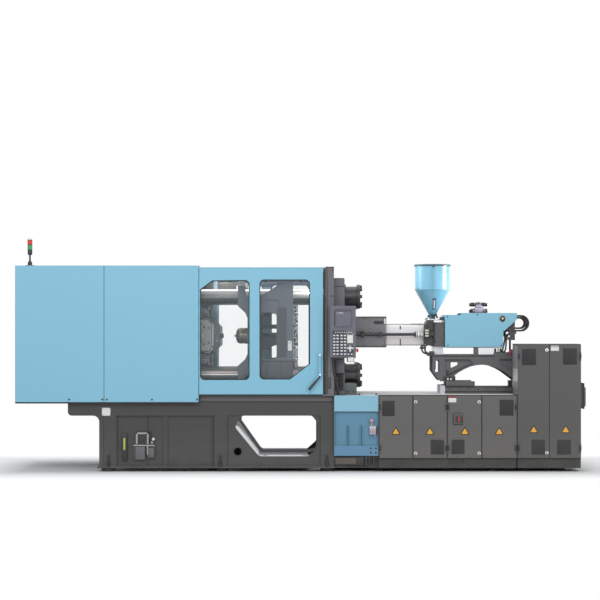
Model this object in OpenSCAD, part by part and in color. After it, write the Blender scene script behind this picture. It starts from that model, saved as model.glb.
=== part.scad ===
/* [Overall] */
// Length over the tail cover and the fan hood
machine_len = 5710; // [5700:5:5720]
// Height of the clamping and injection axis above the floor
axis_z = 1360; // [1355:1:1365]
// How far the covers stand out over the beds
cover_over = 60; // [55:1:65]
// Height of the frames above the floor, which is the height of the levelling pads
pad_h = 35; // [30:1:40]

/* [Clamp bed] */
// Half depth of the clamp bed
bed_half = 660; // [655:1:665]
// Height of the underside of the clamp bed's long beams
beam_z0 = 560; // [555:1:565]
// Height of the top of the clamp bed's long beams
beam_z1 = 700; // [695:1:704]
// Width of a long beam and of the way on it
beam_w = 160; // [150:1:170]
// Height of the ways that carry the moving platen
way_z = 760; // [755:1:762]
// Thickness of the welded plates of the beds
plate_t = 20; // [16:1:24]
// Width of the bed's foot flange beyond its side
flange_lip = 20; // [10:1:24]
// Diameter of the lifting hole in the clamp bed's side
lift_hole_d = 74; // [60:1:80]

/* [Clamp unit] */
// Half of the distance between the tie bars, across and up
tie_half = 400; // [398:1:402]
// Diameter of a tie bar
tie_d = 150; // [146:1:154]
// Half depth of the platens
platen_half = 560; // [555:1:565]
// Half height of the platens above and below the axis
platen_rise = 560; // [555:1:565]
// Thickness of the fixed platen
fixed_platen_t = 170; // [160:1:180]
// Thickness of the rear platen
rear_platen_t = 280; // [270:1:290]
// Height and depth of a platen's machined mould face
mould_face = 740; // [720:5:760]
// Radius of the locating bore for the mould's ring
locating_r = 62.5; // [55:0.5:65]
// Radius of a tapped hole for mould clamps
mould_hole_r = 8; // [7:0.5:10]
// Hole distance of the mould clamp holes
mould_hole_pitch = 560; // [500:10:600]
// Length of a rear toggle link between its pins
rear_link_l = 280; // [278:1:282]
// Length of a front toggle link between its pins
front_link_l = 770; // [768:1:772]
// Distance of the main toggle pins above and below the axis
toggle_rise = 370; // [368:1:372]
// Distance of the crosshead pins above and below the axis
cross_rise = 120; // [118:1:122]
// Radius of a toggle pin
pin_r = 28; // [26:0.5:30]
// Radius of the clamp cylinder's piston rod
piston_rod_r = 30; // [28:1:32]

/* [Safety doors] */
// Length of a safety door
door_len = 1240; // [1236:1:1244]
// Height of the lower edge of a safety door
door_z0 = 775; // [772:1:778]
// Height of the upper edge of a safety door
door_z1 = 2035; // [2030:1:2040]
// Thickness of a safety door
door_t = 28; // [24:1:30]
// Thickness of a clear pane
pane_t = 4; // [3:0.5:6]

/* [Covers] */
// Length of the tail cover
rear_cover_len = 890; // [885:1:892]
// Length of the middle cover
mid_cover_len = 945; // [943:1:950]
// Height of the covers' lower edge
cover_z0 = 695; // [690:1:700]
// Height of the covers' top
cover_z1 = 2065; // [2060:1:2070]
// Sheet thickness of the covers
sheet_t = 4; // [3:0.5:5]

/* [Injection side] */
// Height of the deck of the injection bed
deck_z = 765; // [763:1:767]
// Height of the cabinet plinth
plinth_z = 135; // [120:1:150]
// Depth of a folded cabinet door
cab_door_t = 24; // [20:1:26]
// Height of the tall cabinet
tall_z = 1280; // [1270:1:1290]
// Height of the carriage's top flange
carriage_z = 1168; // [1164:1:1172]
// Half depth of the carriage
carriage_half = 240; // [236:1:244]
// Outer radius of the barrel
barrel_r = 58; // [54:1:62]
// Radius of the screw
screw_r = 25; // [22:0.5:26]
// Clearance between the screw and the barrel
screw_gap = 0.5; // [0.3:0.1:1]
// Radius of the carriage pull rods
pull_rod_r = 15; // [13:1:17]
// Outer radius of the hopper
hopper_r = 180; // [175:1:184]
// Height of the hopper's rim
hopper_z = 2088; // [2076:1:2096]

/* [Control panel] */
// Width of the control panel
panel_w = 255; // [250:1:260]
// Height of the control panel
panel_h = 520; // [510:1:530]
// Thickness of the control panel
panel_t = 75; // [70:1:80]

/* [Hidden] */
$fn = 48;
slip = 0.3;
cover_half = bed_half + cover_over;
x_left = -machine_len / 2;
x_right = machine_len / 2;
seam_x = x_left + rear_cover_len;
cover_end_x = seam_x + mid_cover_len;
door_x0 = cover_end_x + 5;
door_x1 = door_x0 + door_len;
post_x0 = door_x1 + 25;
post_w = 85;
post_x1 = post_x0 + post_w;
bed_x0 = x_left + 520;
bed_x1 = post_x1;
leg_x0 = x_left + 835;
leg_x1 = leg_x0 + 175;
column_x0 = cover_end_x + 155;
column_x1 = column_x0 + 138;
end_leg_x0 = post_x1 - 135;
way_x0 = cover_end_x - 60;
seat_x1 = post_x1 + 115;

cover_screw_x = [bed_x0 + 20, seam_x - 17, seam_x + 28, seam_x + 480, cover_end_x - 15];

// Platen stations
fixed_x0 = post_x0 + 25;
fixed_x1 = fixed_x0 + fixed_platen_t;
face_t = 25;
moving_x1 = fixed_x0 - 301;
moving_back_x = moving_x1 - 209;
rear_x1 = moving_x1 - 1694;
rear_x0 = rear_x1 - rear_platen_t;
rear_pin_x = rear_x1 + 80;
knee_x = rear_pin_x + rear_link_l;
front_pin_x = knee_x + front_link_l;
cross_pin_x = front_pin_x - 370;
eye_r = 52;
lane = 45;
cheek_0 = 50;
cheek_1 = 90;
arm_0 = 95;
arm_1 = 125;

// Bed opening under the mould space, as an outline in X and Z
opening_x0 = column_x1 + 62;
opening_x1 = end_leg_x0 - 30;
opening_z0 = pad_h + 115;
opening = [[opening_x0, beam_z0 - 110], [opening_x0 + 235, opening_z0 + 15],
           [opening_x0 + 265, opening_z0], [opening_x1 - 95, opening_z0], [opening_x1, opening_z0 + 85],
           [opening_x1, beam_z0 - 70], [opening_x1 - 55, beam_z0], [opening_x0 + 75, beam_z0]];
opening_round = [50, 20, 20, 30, 50, 50, 40, 60];

// Anchor bolt holes in the foot flanges, in front of the recessed panels
anchor_r = 11;
anchor_x = [leg_x1 + 60, column_x0 - 60];
anchor_y = [-bed_half + 5, bed_half - 5];

// Injection side stations
inj_x0 = seat_x1;
tall_x1 = x_right - 45;
table_len = 2360;
stretch = (tall_x1 - inj_x0) / table_len;
bay_x = [for (d = [335, 675, 1020, 1365, 1715]) inj_x0 + d * stretch];
inj_x1 = bay_x[4];
door_face = bed_half + 40;
frame_face = door_face - cab_door_t;
tall_x0 = inj_x1 + 10;
tall_mid = (tall_x0 + tall_x1) / 2;
bed_back = bed_half - 20;
tail_x1 = tall_x1 - 110;
tail_front = -carriage_half - 15;
tall_back = tail_front - 7;
feed_x0 = inj_x0 + 823;
feed_x1 = feed_x0 + 200;
feed_half = 215;
feed_z0 = carriage_z + 82;
feed_z1 = feed_z0 + 270;
hopper_x = feed_x0 + 97;
lid_hinge_y = hopper_r + 22;
lid_hinge_z = hopper_z + 9;
rod_y = 195;
rod_z = axis_z + 15;
guard_x0 = fixed_x1 + 15;
guard_x1 = inj_x0 + 416;
guard_half = 165;
cowl_x0 = feed_x1 + 10;
cowl_x1 = cowl_x0 + 745;
cowl_half = feed_half;
cowl_z0 = carriage_z + 73;
cowl_z1 = cowl_z0 + 354;
nozzle_x = fixed_x0 + 25;
drive_x0 = feed_x1 + 125;
barrel_l = feed_x1 - nozzle_x;
screw_x0 = nozzle_x + 300;
flight_l = feed_x0 - screw_x0 + 110;
flight_turns = 10;
rail_y0 = carriage_half - 80;

// Hinges and seals of the cabinet doors
hinge_r = 7;
hinge_y = -door_face - 8;
seal_t = 2;

// Cabinet doors: left, right, bottom, top, hinge side (-1 left, 1 right)
gap = 3;
cab_z0 = plinth_z + gap;
cab_doors = [[bay_x[0], bay_x[1], cab_z0, deck_z - 2, -1], [bay_x[1], bay_x[2], cab_z0, deck_z - 2, 1],
             [bay_x[2], bay_x[3], cab_z0, deck_z - 2, -1], [bay_x[3], bay_x[4], cab_z0, deck_z - 2, 1],
             [tall_x0, tall_mid, cab_z0, tall_z - 8, -1], [tall_mid, tall_x1, cab_z0, tall_z - 8, 1]];
// Louvre fields: distance from the door's left edge, height, width, height of the field
vents = [[[35, 560, 120, 150]], [[180, 175, 130, 145]], [[45, 180, 125, 140]], [[180, 565, 135, 155]],
         [[45, 1070, 135, 160], [140, 175, 130, 145]], [[135, 1075, 135, 160], [75, 175, 135, 145]]];
// Latch places: distance from the door's free edge and height
latch_in = 27;
latches = [[1, cab_z0 + 47], [1, deck_z - 65], [2, cab_z0 + 47], [2, deck_z - 65], [4, cab_z0 + 52], [4, tall_z - 60]];
latch_r = 17;

// Control panel
panel_x0 = post_x0 + 45;
panel_z0 = axis_z - 220;
panel_y0 = -cover_half - 120;
panel_y1 = panel_y0 + panel_t;
pivot_x = panel_x0 + 35;
pivot_y = panel_y1 + 18;
stop_z = panel_z0 + 78;

// Hose routes on the injection unit, behind the cowl
hose_r = 9;
hose_ports = [-90, -30, 30, 90];
hose_x = cowl_x1 - 15;
hose_z = cowl_z1 - 28;
function hose_route(bend) = concat([[0, 0, 0]], [for (a = [0:15:180]) [70 + bend * sin(a), 0, bend * (cos(a) - 1)]],
                                   [[0, 0, -2 * bend]]);

// Levelling pads, each pair with its distance from the middle
pads = [for (p = [[leg_x0 + 85, bed_half - 60], [column_x0 + 69, bed_half - 100], [end_leg_x0 + 70, bed_half - 100],
                  [inj_x0 + 330, bed_half - 200], [inj_x0 + 1020, bed_half - 200], [inj_x1 - 60, bed_half - 200],
                  [tail_x1 - 90, bed_half - 200]]) for (s = [-1, 1]) [p[0], s * p[1]]];

// A box between two corners
module block(lo, hi) translate(lo) cube(hi - lo);

// An outline in X and Z, extruded across the machine from y0 to y1
module across(outline, y0, y1)
    translate([0, y1, 0]) rotate([90, 0, 0]) linear_extrude(y1 - y0) polygon(outline);

// An outline in Y and Z, extruded along the machine from x0 to x1
module along(outline, x0, x1)
    translate([x0, 0, 0]) rotate([90, 0, 90]) linear_extrude(x1 - x0) polygon(outline);

module rod_x(x0, x1, y, z, r) translate([x0, y, z]) rotate([0, 90, 0]) cylinder(h = x1 - x0, r = r);
module rod_y(y0, y1, x, z, r) translate([x, y1, z]) rotate([90, 0, 0]) cylinder(h = y1 - y0, r = r);
module rod_z(z0, z1, x, y, r) translate([x, y, z0]) cylinder(h = z1 - z0, r = r);

// A body turned about an axis along X; outline is [radius, distance from x0]
module turned_x(x0, z, outline) translate([x0, 0, z]) rotate([0, 90, 0]) rotate_extrude() polygon(outline);

module both_sides() {
    children();
    mirror([0, 1, 0]) children();
}

// The part above the axis and its mirror image below it
module above_and_below() {
    children();
    translate([0, 0, 2 * axis_z]) mirror([0, 0, 1]) children();
}

function unit(v) = v / norm(v);

// Points of the arc of radius r that rounds the corner b between a and c
function corner_arc(a, b, c, r, n) = r == 0 ? [b] :
    let (u = unit(a - b), v = unit(c - b), half = acos(u * v) / 2,
         m = b + unit(u + v) * r / sin(half), s = b + u * r / tan(half) - m, e = b + v * r / tan(half) - m,
         a0 = atan2(s[1], s[0]), turn = atan2(e[1], e[0]) - a0,
         w = turn > 180 ? turn - 360 : turn < -180 ? turn + 360 : turn)
    [for (i = [0:n]) m + r * [cos(a0 + w * i / n), sin(a0 + w * i / n)]];

// An outline with its corners rounded; r is one radius or a list with one for each corner
function rounded(p, r, n = 5) = [for (i = [0:len(p) - 1])
    each corner_arc(p[(i + len(p) - 1) % len(p)], p[i], p[(i + 1) % len(p)], is_list(r) ? r[i] : r, n)];

function box_outline(x0, x1, z0, z1) = [[x0, z0], [x1, z0], [x1, z1], [x0, z1]];

// The mitred offset of point i of an open line
function mitre(p, i) =
    let (d0 = unit(i > 0 ? p[i] - p[i - 1] : p[1] - p[0]),
         d1 = i < len(p) - 1 ? unit(p[i + 1] - p[i]) : d0,
         n0 = [-d0[1], d0[0]], m = unit(n0 + [-d1[1], d1[0]]))
    m / (m * n0);

// A sheet folded along an open line, of thickness t on its left
function folded(p, t) = concat(p, [for (i = [len(p) - 1:-1:0]) p[i] + t * mitre(p, i)]);

// A straight link outline between two eyes
module link_plate(a, b, r, web, y0, y1) {
    d = b - a;
    n = [-d[1], d[0]] / norm(d) * web;
    difference() {
        union() {
            across([a + n, b + n, b - n, a - n], y0, y1);
            rod_y(y0, y1, a[0], a[1], r);
            rod_y(y0, y1, b[0], b[1], r);
        }
        for (p = [a, b]) rod_y(y0 - 1, y1 + 1, p[0], p[1], pin_r + 0.05);
    }
}

// The dark welded base under the clamp unit
module clamp_bed() color([0.30, 0.30, 0.31]) difference() {
    union() {
        both_sides() {
            across(rounded(box_outline(bed_x0, bed_x1, beam_z0, beam_z1), [40, 0, 0, 0]),
                   -bed_half, -bed_half + beam_w);
            block([way_x0, -bed_half, beam_z1], [bed_x1, -bed_half + beam_w, way_z]);
            for (leg = [[leg_x0, leg_x1], [column_x0, column_x1], [end_leg_x0, bed_x1]])
                block([leg[0], -bed_half, pad_h], [leg[1], -bed_half + beam_w, beam_z0]);
            across(concat([[leg_x0 - 60, beam_z0 + 10], [leg_x0 + 10, beam_z0 + 10], [leg_x0 + 10, beam_z0 - 60]],
                          [for (i = [0:5]) [leg_x0 - 60 + 60 * cos(i * 18), beam_z0 - 60 + 60 * sin(i * 18)]]),
                   -bed_half, -bed_half + beam_w);
            block([leg_x0 - 15, -bed_half - flange_lip, pad_h], [bed_x1 + 10, -bed_half + beam_w, pad_h + plate_t]);
            block([leg_x1, -bed_half + 30, pad_h + plate_t], [column_x0, -bed_half + 36, beam_z0]);
            block([(leg_x1 + column_x0) / 2 - 22, -bed_half + 15, pad_h + plate_t],
                  [(leg_x1 + column_x0) / 2 + 22, -bed_half + 30, beam_z0]);
            bed_side_plate();
        }
        for (x = [bed_x0, leg_x1 - plate_t, column_x0, end_leg_x0])
            block([x, -bed_half + beam_w, x == bed_x0 ? beam_z0 : pad_h], [x + plate_t, bed_half - beam_w, beam_z1]);
        block([rear_x0 - 30, -bed_half + beam_w, beam_z1 - 40], [rear_x1 + 30, bed_half - beam_w, beam_z1]);
        block([end_leg_x0, -bed_half + plate_t, beam_z0], [seat_x1, bed_half - plate_t, way_z]);
        both_sides() block([bed_x1, -bed_half + plate_t, pad_h], [seat_x1, -bed_half + 2 * plate_t, beam_z0]);
        across(folded([for (i = [3, 2, 1, 0]) opening[i]], plate_t / 2), -bed_half + 30, bed_half - 30);
    }
    both_sides() for (x = [[bed_x0 + plate_t, leg_x0 + plate_t], [leg_x1 + plate_t, column_x0 - plate_t],
                           [column_x1 + plate_t, end_leg_x0 - plate_t]])
        block([x[0], -bed_half + plate_t, beam_z0 + plate_t], [x[1], -bed_half + beam_w + 1, beam_z1 - plate_t]);
    both_sides() for (leg = [[leg_x0, leg_x1 - plate_t], [column_x0 + plate_t, column_x1], [end_leg_x0 + plate_t, bed_x1]])
        block([leg[0] + plate_t, -bed_half + plate_t, pad_h + plate_t], [leg[1] - plate_t, -bed_half + beam_w + 1, beam_z0]);
    both_sides() rod_y(-bed_half - 1, -bed_half + beam_w, column_x1 + 97, beam_z0 - 360, lift_hole_d / 2);
    for (x = anchor_x) for (y = anchor_y)
        rod_z(pad_h - 1, pad_h + plate_t + 1, x, y, anchor_r);
}
// The side plate around the parts opening
module bed_side_plate() difference() {
    block([column_x1, -bed_half + 10, pad_h + plate_t], [end_leg_x0, -bed_half + 30, beam_z0]);
    across(rounded(opening, opening_round), -bed_half, -bed_half + 40);
}

module levelling_pads() color([0.16, 0.16, 0.17])
    for (p = pads) translate([p[0], p[1], 0]) {
        cylinder(h = 8, r1 = 60, r2 = 68);
        translate([0, 0, 8]) cylinder(h = pad_h - 8, r = 68);
    }

// The galvanised sheet that leads moulded parts out of the bed
module drop_chute() color([0.80, 0.81, 0.82]) {
    top = opening[0] + (opening[1] - opening[0]) * 0.1;
    across(folded([top, opening[1]], 2), -bed_half + 31, -20);
    across(folded([top, opening[1], opening[2], opening[3]], 2), -bed_half + 31, -bed_half + 260);
}

module tie_positions() for (y = [-tie_half, tie_half]) for (z = [axis_z - tie_half, axis_z + tie_half])
    translate([0, y, z]) children();

module tie_bars() color([0.86, 0.87, 0.88]) tie_positions()
    rod_x(rear_x0 - 70, fixed_x1 + 127, 0, 0, tie_d / 2);

module tie_bar_nuts() color([0.26, 0.27, 0.27]) tie_positions() difference() {
    union() {
        rod_x(fixed_x1, fixed_x1 + 15, 0, 0, 125);
        rod_x(fixed_x1 + 15, fixed_x1 + 125, 0, 0, 102);
        rod_x(fixed_x1 + 127, fixed_x1 + 160, 0, 0, 122);
        for (a = [0:45:315]) translate([0, 100 * cos(a), 100 * sin(a)]) rotate([0, 90, 0])
            translate([0, 0, fixed_x1 + 160]) cylinder(h = 20, r = 15, $fn = 6);
        rod_x(fixed_x1 + 125, fixed_x1 + 127, 0, 0, 100);
        rod_x(rear_x0 - 60, rear_x0, 0, 0, 108);
    }
    rod_x(rear_x0 - 70, fixed_x1 + 127, 0, 0, tie_d / 2);
}

// Tapped holes for mould clamps in a platen face between two stations
module mould_holes(x0, x1) for (y = [-0.5, 0.5]) for (z = [-0.5, 0.5])
    rod_x(x0, x1, y * mould_hole_pitch, axis_z + z * mould_hole_pitch, mould_hole_r);

// T slots across a mould face, open at both sides
module face_slots(x0, x1, dir) for (i = [-2:2]) if (i != 0) {
    z = axis_z + i * 120;
    block([x0, -mould_face, z - 9], [x1, mould_face, z + 9]);
    block([dir > 0 ? x0 : x1 - 12, -mould_face, z - 16], [dir > 0 ? x0 + 12 : x1, mould_face, z + 16]);
}

module fixed_platen() color([0.42, 0.42, 0.43]) difference() {
    union() {
        across(rounded([[fixed_x0, way_z], [fixed_x1, way_z], [fixed_x1, axis_z + platen_rise - 50],
                        [fixed_x1, axis_z + platen_rise + 25], [fixed_x0, axis_z + platen_rise + 25]],
                       [0, 0, 0, 12, 0]), -platen_half, platen_half);
        block([fixed_x0 - face_t, -mould_face / 2, axis_z - mould_face / 2],
              [fixed_x0, mould_face / 2, axis_z + mould_face / 2]);
    }
    tie_positions() rod_x(fixed_x0 - face_t - 1, fixed_x1 + 1, 0, 0, tie_d / 2);
    rod_x(fixed_x0 - face_t - 1, fixed_x0 + 10, 0, axis_z, locating_r);
    rod_x(fixed_x0 + 9, fixed_x1 + 1, 0, axis_z, 50);
    translate([fixed_x1 - 100, 0, axis_z]) rotate([0, 90, 0]) cylinder(h = 101, r1 = 51, r2 = 150);
    mould_holes(fixed_x0 - face_t - 1, fixed_x0 + 30);
    face_slots(fixed_x0 - face_t - 1, fixed_x0, -1);
}

module rear_platen() color([0.40, 0.40, 0.41]) {
    difference() {
        union() {
            block([rear_x0, -platen_half, beam_z1], [rear_x1, platen_half, axis_z + platen_rise]);
            above_and_below() {
                across([[rear_x1 - 5, axis_z + toggle_rise - 60], [rear_pin_x, axis_z + toggle_rise - eye_r],
                        [rear_pin_x, axis_z + toggle_rise + eye_r], [rear_x1 - 5, axis_z + toggle_rise + 60]],
                       -lane, lane);
                rod_y(-lane, lane, rear_pin_x, axis_z + toggle_rise, eye_r);
            }
        }
        tie_positions() rod_x(rear_x0 - 1, rear_x1 + 1, 0, 0, tie_d / 2);
        block([rear_x1 - 115, -150, axis_z - 260], [rear_x1 + 1, 150, axis_z + 260]);
        above_and_below() block([rear_x1 - 60, -cheek_1 - 8, axis_z + toggle_rise - 120],
                                [rear_x1 + 1, -lane, axis_z + toggle_rise + 80]);
        above_and_below() block([rear_x1 - 60, lane, axis_z + toggle_rise - 120],
                                [rear_x1 + 1, cheek_1 + 8, axis_z + toggle_rise + 80]);
        above_and_below() block([rear_x0 - 1, -270, axis_z + 190], [rear_x0 + 150, 270, axis_z + 480]);
        both_sides() block([rear_x0 - 1, -500, axis_z - 240], [rear_x0 + 150, -190, axis_z + 150]);
        rod_x(rear_x0 - 1, rear_x1 + 1, 0, axis_z, piston_rod_r + slip);
        above_and_below() rod_y(-lane - 1, lane + 1, rear_pin_x, axis_z + toggle_rise, pin_r);
        both_sides() rod_x(rear_x1 - 80, rear_x1 + 1, 230, axis_z, 25);
    }
    above_and_below() rod_y(-cheek_1, cheek_1, rear_pin_x, axis_z + toggle_rise, pin_r);
    both_sides() rod_x(rear_x1 - 80, cross_pin_x + 152, 230, axis_z, 25);
}

// The cylinder that drives the crosshead, open inside for its piston
module clamp_cylinder() color([0.36, 0.36, 0.37])
    turned_x(rear_x0 - 480, axis_z, [[0, 0], [130, 0], [130, 50], [105, 50], [105, 430], [140, 430], [140, 480],
        [piston_rod_r + slip, 480], [piston_rod_r + slip, 460], [75, 460], [75, 40], [0, 40]]);

// Side outline of the moving platen above the axis
moving_side = [[moving_x1 - 55, axis_z], [moving_x1 - 55, axis_z + platen_rise],
               [moving_x1 - 128, axis_z + platen_rise], [moving_x1 - 385, axis_z + platen_rise - 162],
               [moving_x1 - 534, axis_z + platen_rise - 162], [moving_x1 - 534, axis_z + platen_rise],
               [moving_x1 - 604, axis_z + platen_rise], [moving_x1 - 607, axis_z + 303],
               [moving_x1 - 533, axis_z + 235], [moving_x1 - 509, axis_z + 181], [moving_x1 - 509, axis_z]];

module moving_platen() color([0.42, 0.42, 0.44]) difference() {
    union() {
        block([moving_back_x, -platen_half, axis_z - platen_rise], [moving_x1 - 50, platen_half, axis_z + platen_rise]);
        above_and_below() both_sides() across(moving_side, -platen_half, -platen_half + 45);
        above_and_below() both_sides() block([moving_x1 - 604, -platen_half + 40, axis_z + tie_half - 100],
            [moving_x1 - 534, -tie_half + 110, axis_z + tie_half + 105]);
        above_and_below() both_sides() block([moving_x1 - 604, -tie_half + 60, axis_z + tie_half - 62],
            [moving_back_x, -cheek_0 - 60, axis_z + tie_half - 42]);
        block([moving_x1 - 50, -mould_face / 2, axis_z - mould_face / 2], [moving_x1, mould_face / 2, axis_z + mould_face / 2]);
        above_and_below() both_sides() {
            across([[moving_back_x, axis_z + toggle_rise - 110], [front_pin_x, axis_z + toggle_rise - 62],
                    [front_pin_x, axis_z + toggle_rise + 62], [moving_back_x, axis_z + toggle_rise + 110]],
                   -cheek_0 - 60, -cheek_0);
            rod_y(-cheek_0 - 60, -cheek_0, front_pin_x, axis_z + toggle_rise, 62);
            rod_y(-cheek_0 - 72, -cheek_0 - 60, front_pin_x, axis_z + toggle_rise, pin_r + 14);
        }
        rod_x(moving_x1 - 610, moving_x1 - 520, 0, axis_z, 74);
        rod_x(moving_x1 - 520, moving_x1 - 452, 0, axis_z, 58);
        rod_x(moving_x1 - 452, moving_back_x, 0, axis_z, 34);
        both_sides() block([moving_x1 - 560, -platen_half, way_z], [moving_x1 - 90, -platen_half + 45, axis_z - platen_rise]);
    }
    tie_positions() rod_x(moving_x1 - 700, moving_x1 + 1, 0, 0, tie_d / 2 + 0.6);
    both_sides() above_and_below()
        across(rounded(box_outline(moving_x1 - 374, moving_x1 - 216, axis_z - 1, axis_z + 235), [0, 0, 40, 40]),
               -platen_half - 1, -platen_half + 60);
    rod_x(moving_x1 - 470, moving_x1 + 1, 0, axis_z, 20 + slip);
    rod_x(moving_x1 - 580, moving_x1 - 460, 0, axis_z, 45);
    mould_holes(moving_x1 - 40, moving_x1 + 1);
    face_slots(moving_x1 - 25, moving_x1 + 1, 1);
}

// The rod that pushes the moulded part off; its piston runs in the ejector cylinder
module ejector_rod() color([0.80, 0.80, 0.78]) {
    rod_x(moving_x1 - 555, moving_x1 - 5, 0, axis_z, 20);
    rod_x(moving_x1 - 579, moving_x1 - 555, 0, axis_z, 45 - slip);
}

module crosshead() color([0.45, 0.45, 0.46]) {
    difference() {
        union() {
            across(rounded([for (p = [[85, -165], [155, -95], [155, 95], [85, 165], [70, 165], [70, -165]])
                [cross_pin_x + p[0] - 18, axis_z + p[1]]], [0, 8, 8, 0, 0, 0]), -290, 290);
            both_sides() {
                for (y = [[-160, -arm_1 - 5], [-arm_0 + 3, -60]])
                    across(rounded([for (p = [[90, -170], [90, 170], [-10, 170], [-45, 130], [-45, -130], [-10, -170]])
                        [cross_pin_x + p[0], axis_z + p[1]]], 6), y[0], y[1]);
                rod_x(cross_pin_x - 45, cross_pin_x + 95, -230, axis_z, 48);
            }
        }
        both_sides() rod_x(cross_pin_x - 50, cross_pin_x + 152, -230, axis_z, 25 + slip);
        rod_x(cross_pin_x, cross_pin_x + 145, 0, axis_z, piston_rod_r);
    }
    above_and_below() both_sides() rod_y(-160, -60, cross_pin_x, axis_z + cross_rise, 22);
    rod_x(rear_x0 - 60, cross_pin_x + 145, 0, axis_z, piston_rod_r);
    rod_x(rear_x0 - 100, rear_x0 - 60, 0, axis_z, 75 - slip);
}

// The long link from the knee to the moving platen, and its knee and platen eyes
module front_link() link_plate([knee_x, axis_z + toggle_rise], [front_pin_x, axis_z + toggle_rise], eye_r, 40, -lane, lane);

// The short link from the rear platen to the knee, with the knee pin
module rear_link() {
    both_sides() link_plate([rear_pin_x, axis_z + toggle_rise], [knee_x, axis_z + toggle_rise], eye_r, 40, -cheek_1, -cheek_0);
    rod_y(-cheek_1, cheek_1, knee_x, axis_z + toggle_rise, pin_r);
}

// The arm from the crosshead towards the knee
module cross_link() both_sides() difference() {
    a = [cross_pin_x, axis_z + cross_rise];
    b = [knee_x, axis_z + toggle_rise];
    union() {
        d = unit(b - a);
        across([a + 30 * [-d[1], d[0]], b + 30 * [-d[1], d[0]], b - 30 * [-d[1], d[0]], a - 30 * [-d[1], d[0]]],
               -arm_1, -arm_0);
        for (p = [a, b]) rod_y(-arm_1, -arm_0, p[0], p[1], 42);
    }
    rod_y(-arm_1 - 1, -arm_0 + 1, a[0], a[1], 22 + 0.05);
    rod_y(-arm_1 - 1, -arm_0 + 1, b[0], b[1], 22);
}

module link_colour() color([0.38, 0.38, 0.40]) children();
module upper_rear_link() link_colour() rear_link();
module upper_front_link() link_colour() front_link();
module upper_cross_link() link_colour() cross_link();
module lower_rear_link() link_colour() translate([0, 0, 2 * axis_z]) mirror([0, 0, 1]) rear_link();
module lower_front_link() link_colour() translate([0, 0, 2 * axis_z]) mirror([0, 0, 1]) front_link();
module lower_cross_link() link_colour() translate([0, 0, 2 * axis_z]) mirror([0, 0, 1]) cross_link();

module cover_colour() color([0.51, 0.75, 0.84]) children();

// The tail cover, a folded sheet box open below and towards the middle cover
module rear_cover() cover_colour() difference() {
    block([x_left, -cover_half, cover_z0], [seam_x - 1.5, cover_half, cover_z1]);
    block([x_left + sheet_t, -cover_half + sheet_t, cover_z0 - 1], [seam_x, cover_half - sheet_t, cover_z1 - sheet_t]);
}

module mid_cover() cover_colour() difference() {
    block([seam_x + 1.5, -cover_half, cover_z0], [cover_end_x, cover_half, cover_z1]);
    block([seam_x, -cover_half + sheet_t, cover_z0 - 1], [cover_end_x + 1, cover_half - sheet_t, cover_z1 - sheet_t]);
}

module cover_screws() color([0.10, 0.10, 0.11]) both_sides()
    for (x = cover_screw_x) rod_y(-cover_half - 6, -cover_half, x, cover_z0 + 30, 9);

// Pole and lamps of the status light
module signal_beacon() color([0.12, 0.12, 0.13]) {
    x = x_left + 130;
    y = -cover_half + 130;
    z = cover_z1;
    block([x - 45, y - 30, z], [x + 45, y + 30, z + 8]);
    rod_z(z + 8, z + 60, x, y, 22);
    rod_z(z + 60, z + 110, x, y, 9);
    rod_z(z + 110, z + 163, x, y, 24);
    rod_z(z + 163, z + 213, x, y, 25);
    rod_z(z + 213, z + 263, x, y, 25);
    translate([x, y, z + 263]) cylinder(h = 20, r1 = 25, r2 = 14);
}

// The posts, the door rails and the arm that carries the control panel
module guard_frame() color([0.44, 0.44, 0.44]) {
    both_sides() {
        block([post_x0, -cover_half, way_z], [post_x1, -bed_half, door_z1 + 15]);
        block([post_x0, -bed_half, door_z1 - 45], [post_x1, -bed_half + 60, door_z1 + 15]);
        block([seam_x - 120, -cover_half + 10, door_z1], [post_x0, -cover_half + 36, door_z1 + 15]);
        block([seam_x - 120, -cover_half + 10, way_z], [post_x0, -cover_half + 36, door_z0]);
        block([way_x0, -cover_half + 36, way_z - 8], [post_x0, -bed_half, way_z]);
        block([seam_x - 120, -cover_half + 36, way_z - 8], [way_x0, -bed_half, way_z]);
        block([seam_x - 120, -bed_half, beam_z1], [way_x0, -bed_half + 12, way_z]);
    }
    both_sides() for (x = cover_screw_x) {
        block([x - 15, -cover_half + sheet_t, beam_z1], [x + 15, x < cover_end_x - 60 ? -bed_half + 12 : -bed_half, beam_z1 + 8]);
        block([x - 15, -cover_half + sheet_t, beam_z1], [x + 15, -cover_half + sheet_t + 8, beam_z1 + 45]);
    }
    block([post_x0, -bed_half + 60, door_z1 - 45], [post_x1, bed_half - 60, door_z1 + 15]);
    for (z = [panel_z0 + 60, panel_z0 + panel_h - 120]) difference() {
        union() {
            block([pivot_x - 14, pivot_y, z], [pivot_x + 14, -cover_half, z + 60]);
            rod_z(z, z + 60, pivot_x, pivot_y, 16);
        }
        rod_z(z - 1, z + 61, pivot_x, pivot_y, 8 + 0.05);
    }
}

// The blue safety door without its windows
module safety_door(windows, rounds) difference() {
    block([door_x0, -cover_half + 8, door_z0], [door_x1, -cover_half + 8 + door_t, door_z1]);
    for (i = [0:1]) across(rounded(windows[i], rounds[i]), -cover_half, -cover_half + 9 + door_t);
}

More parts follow.
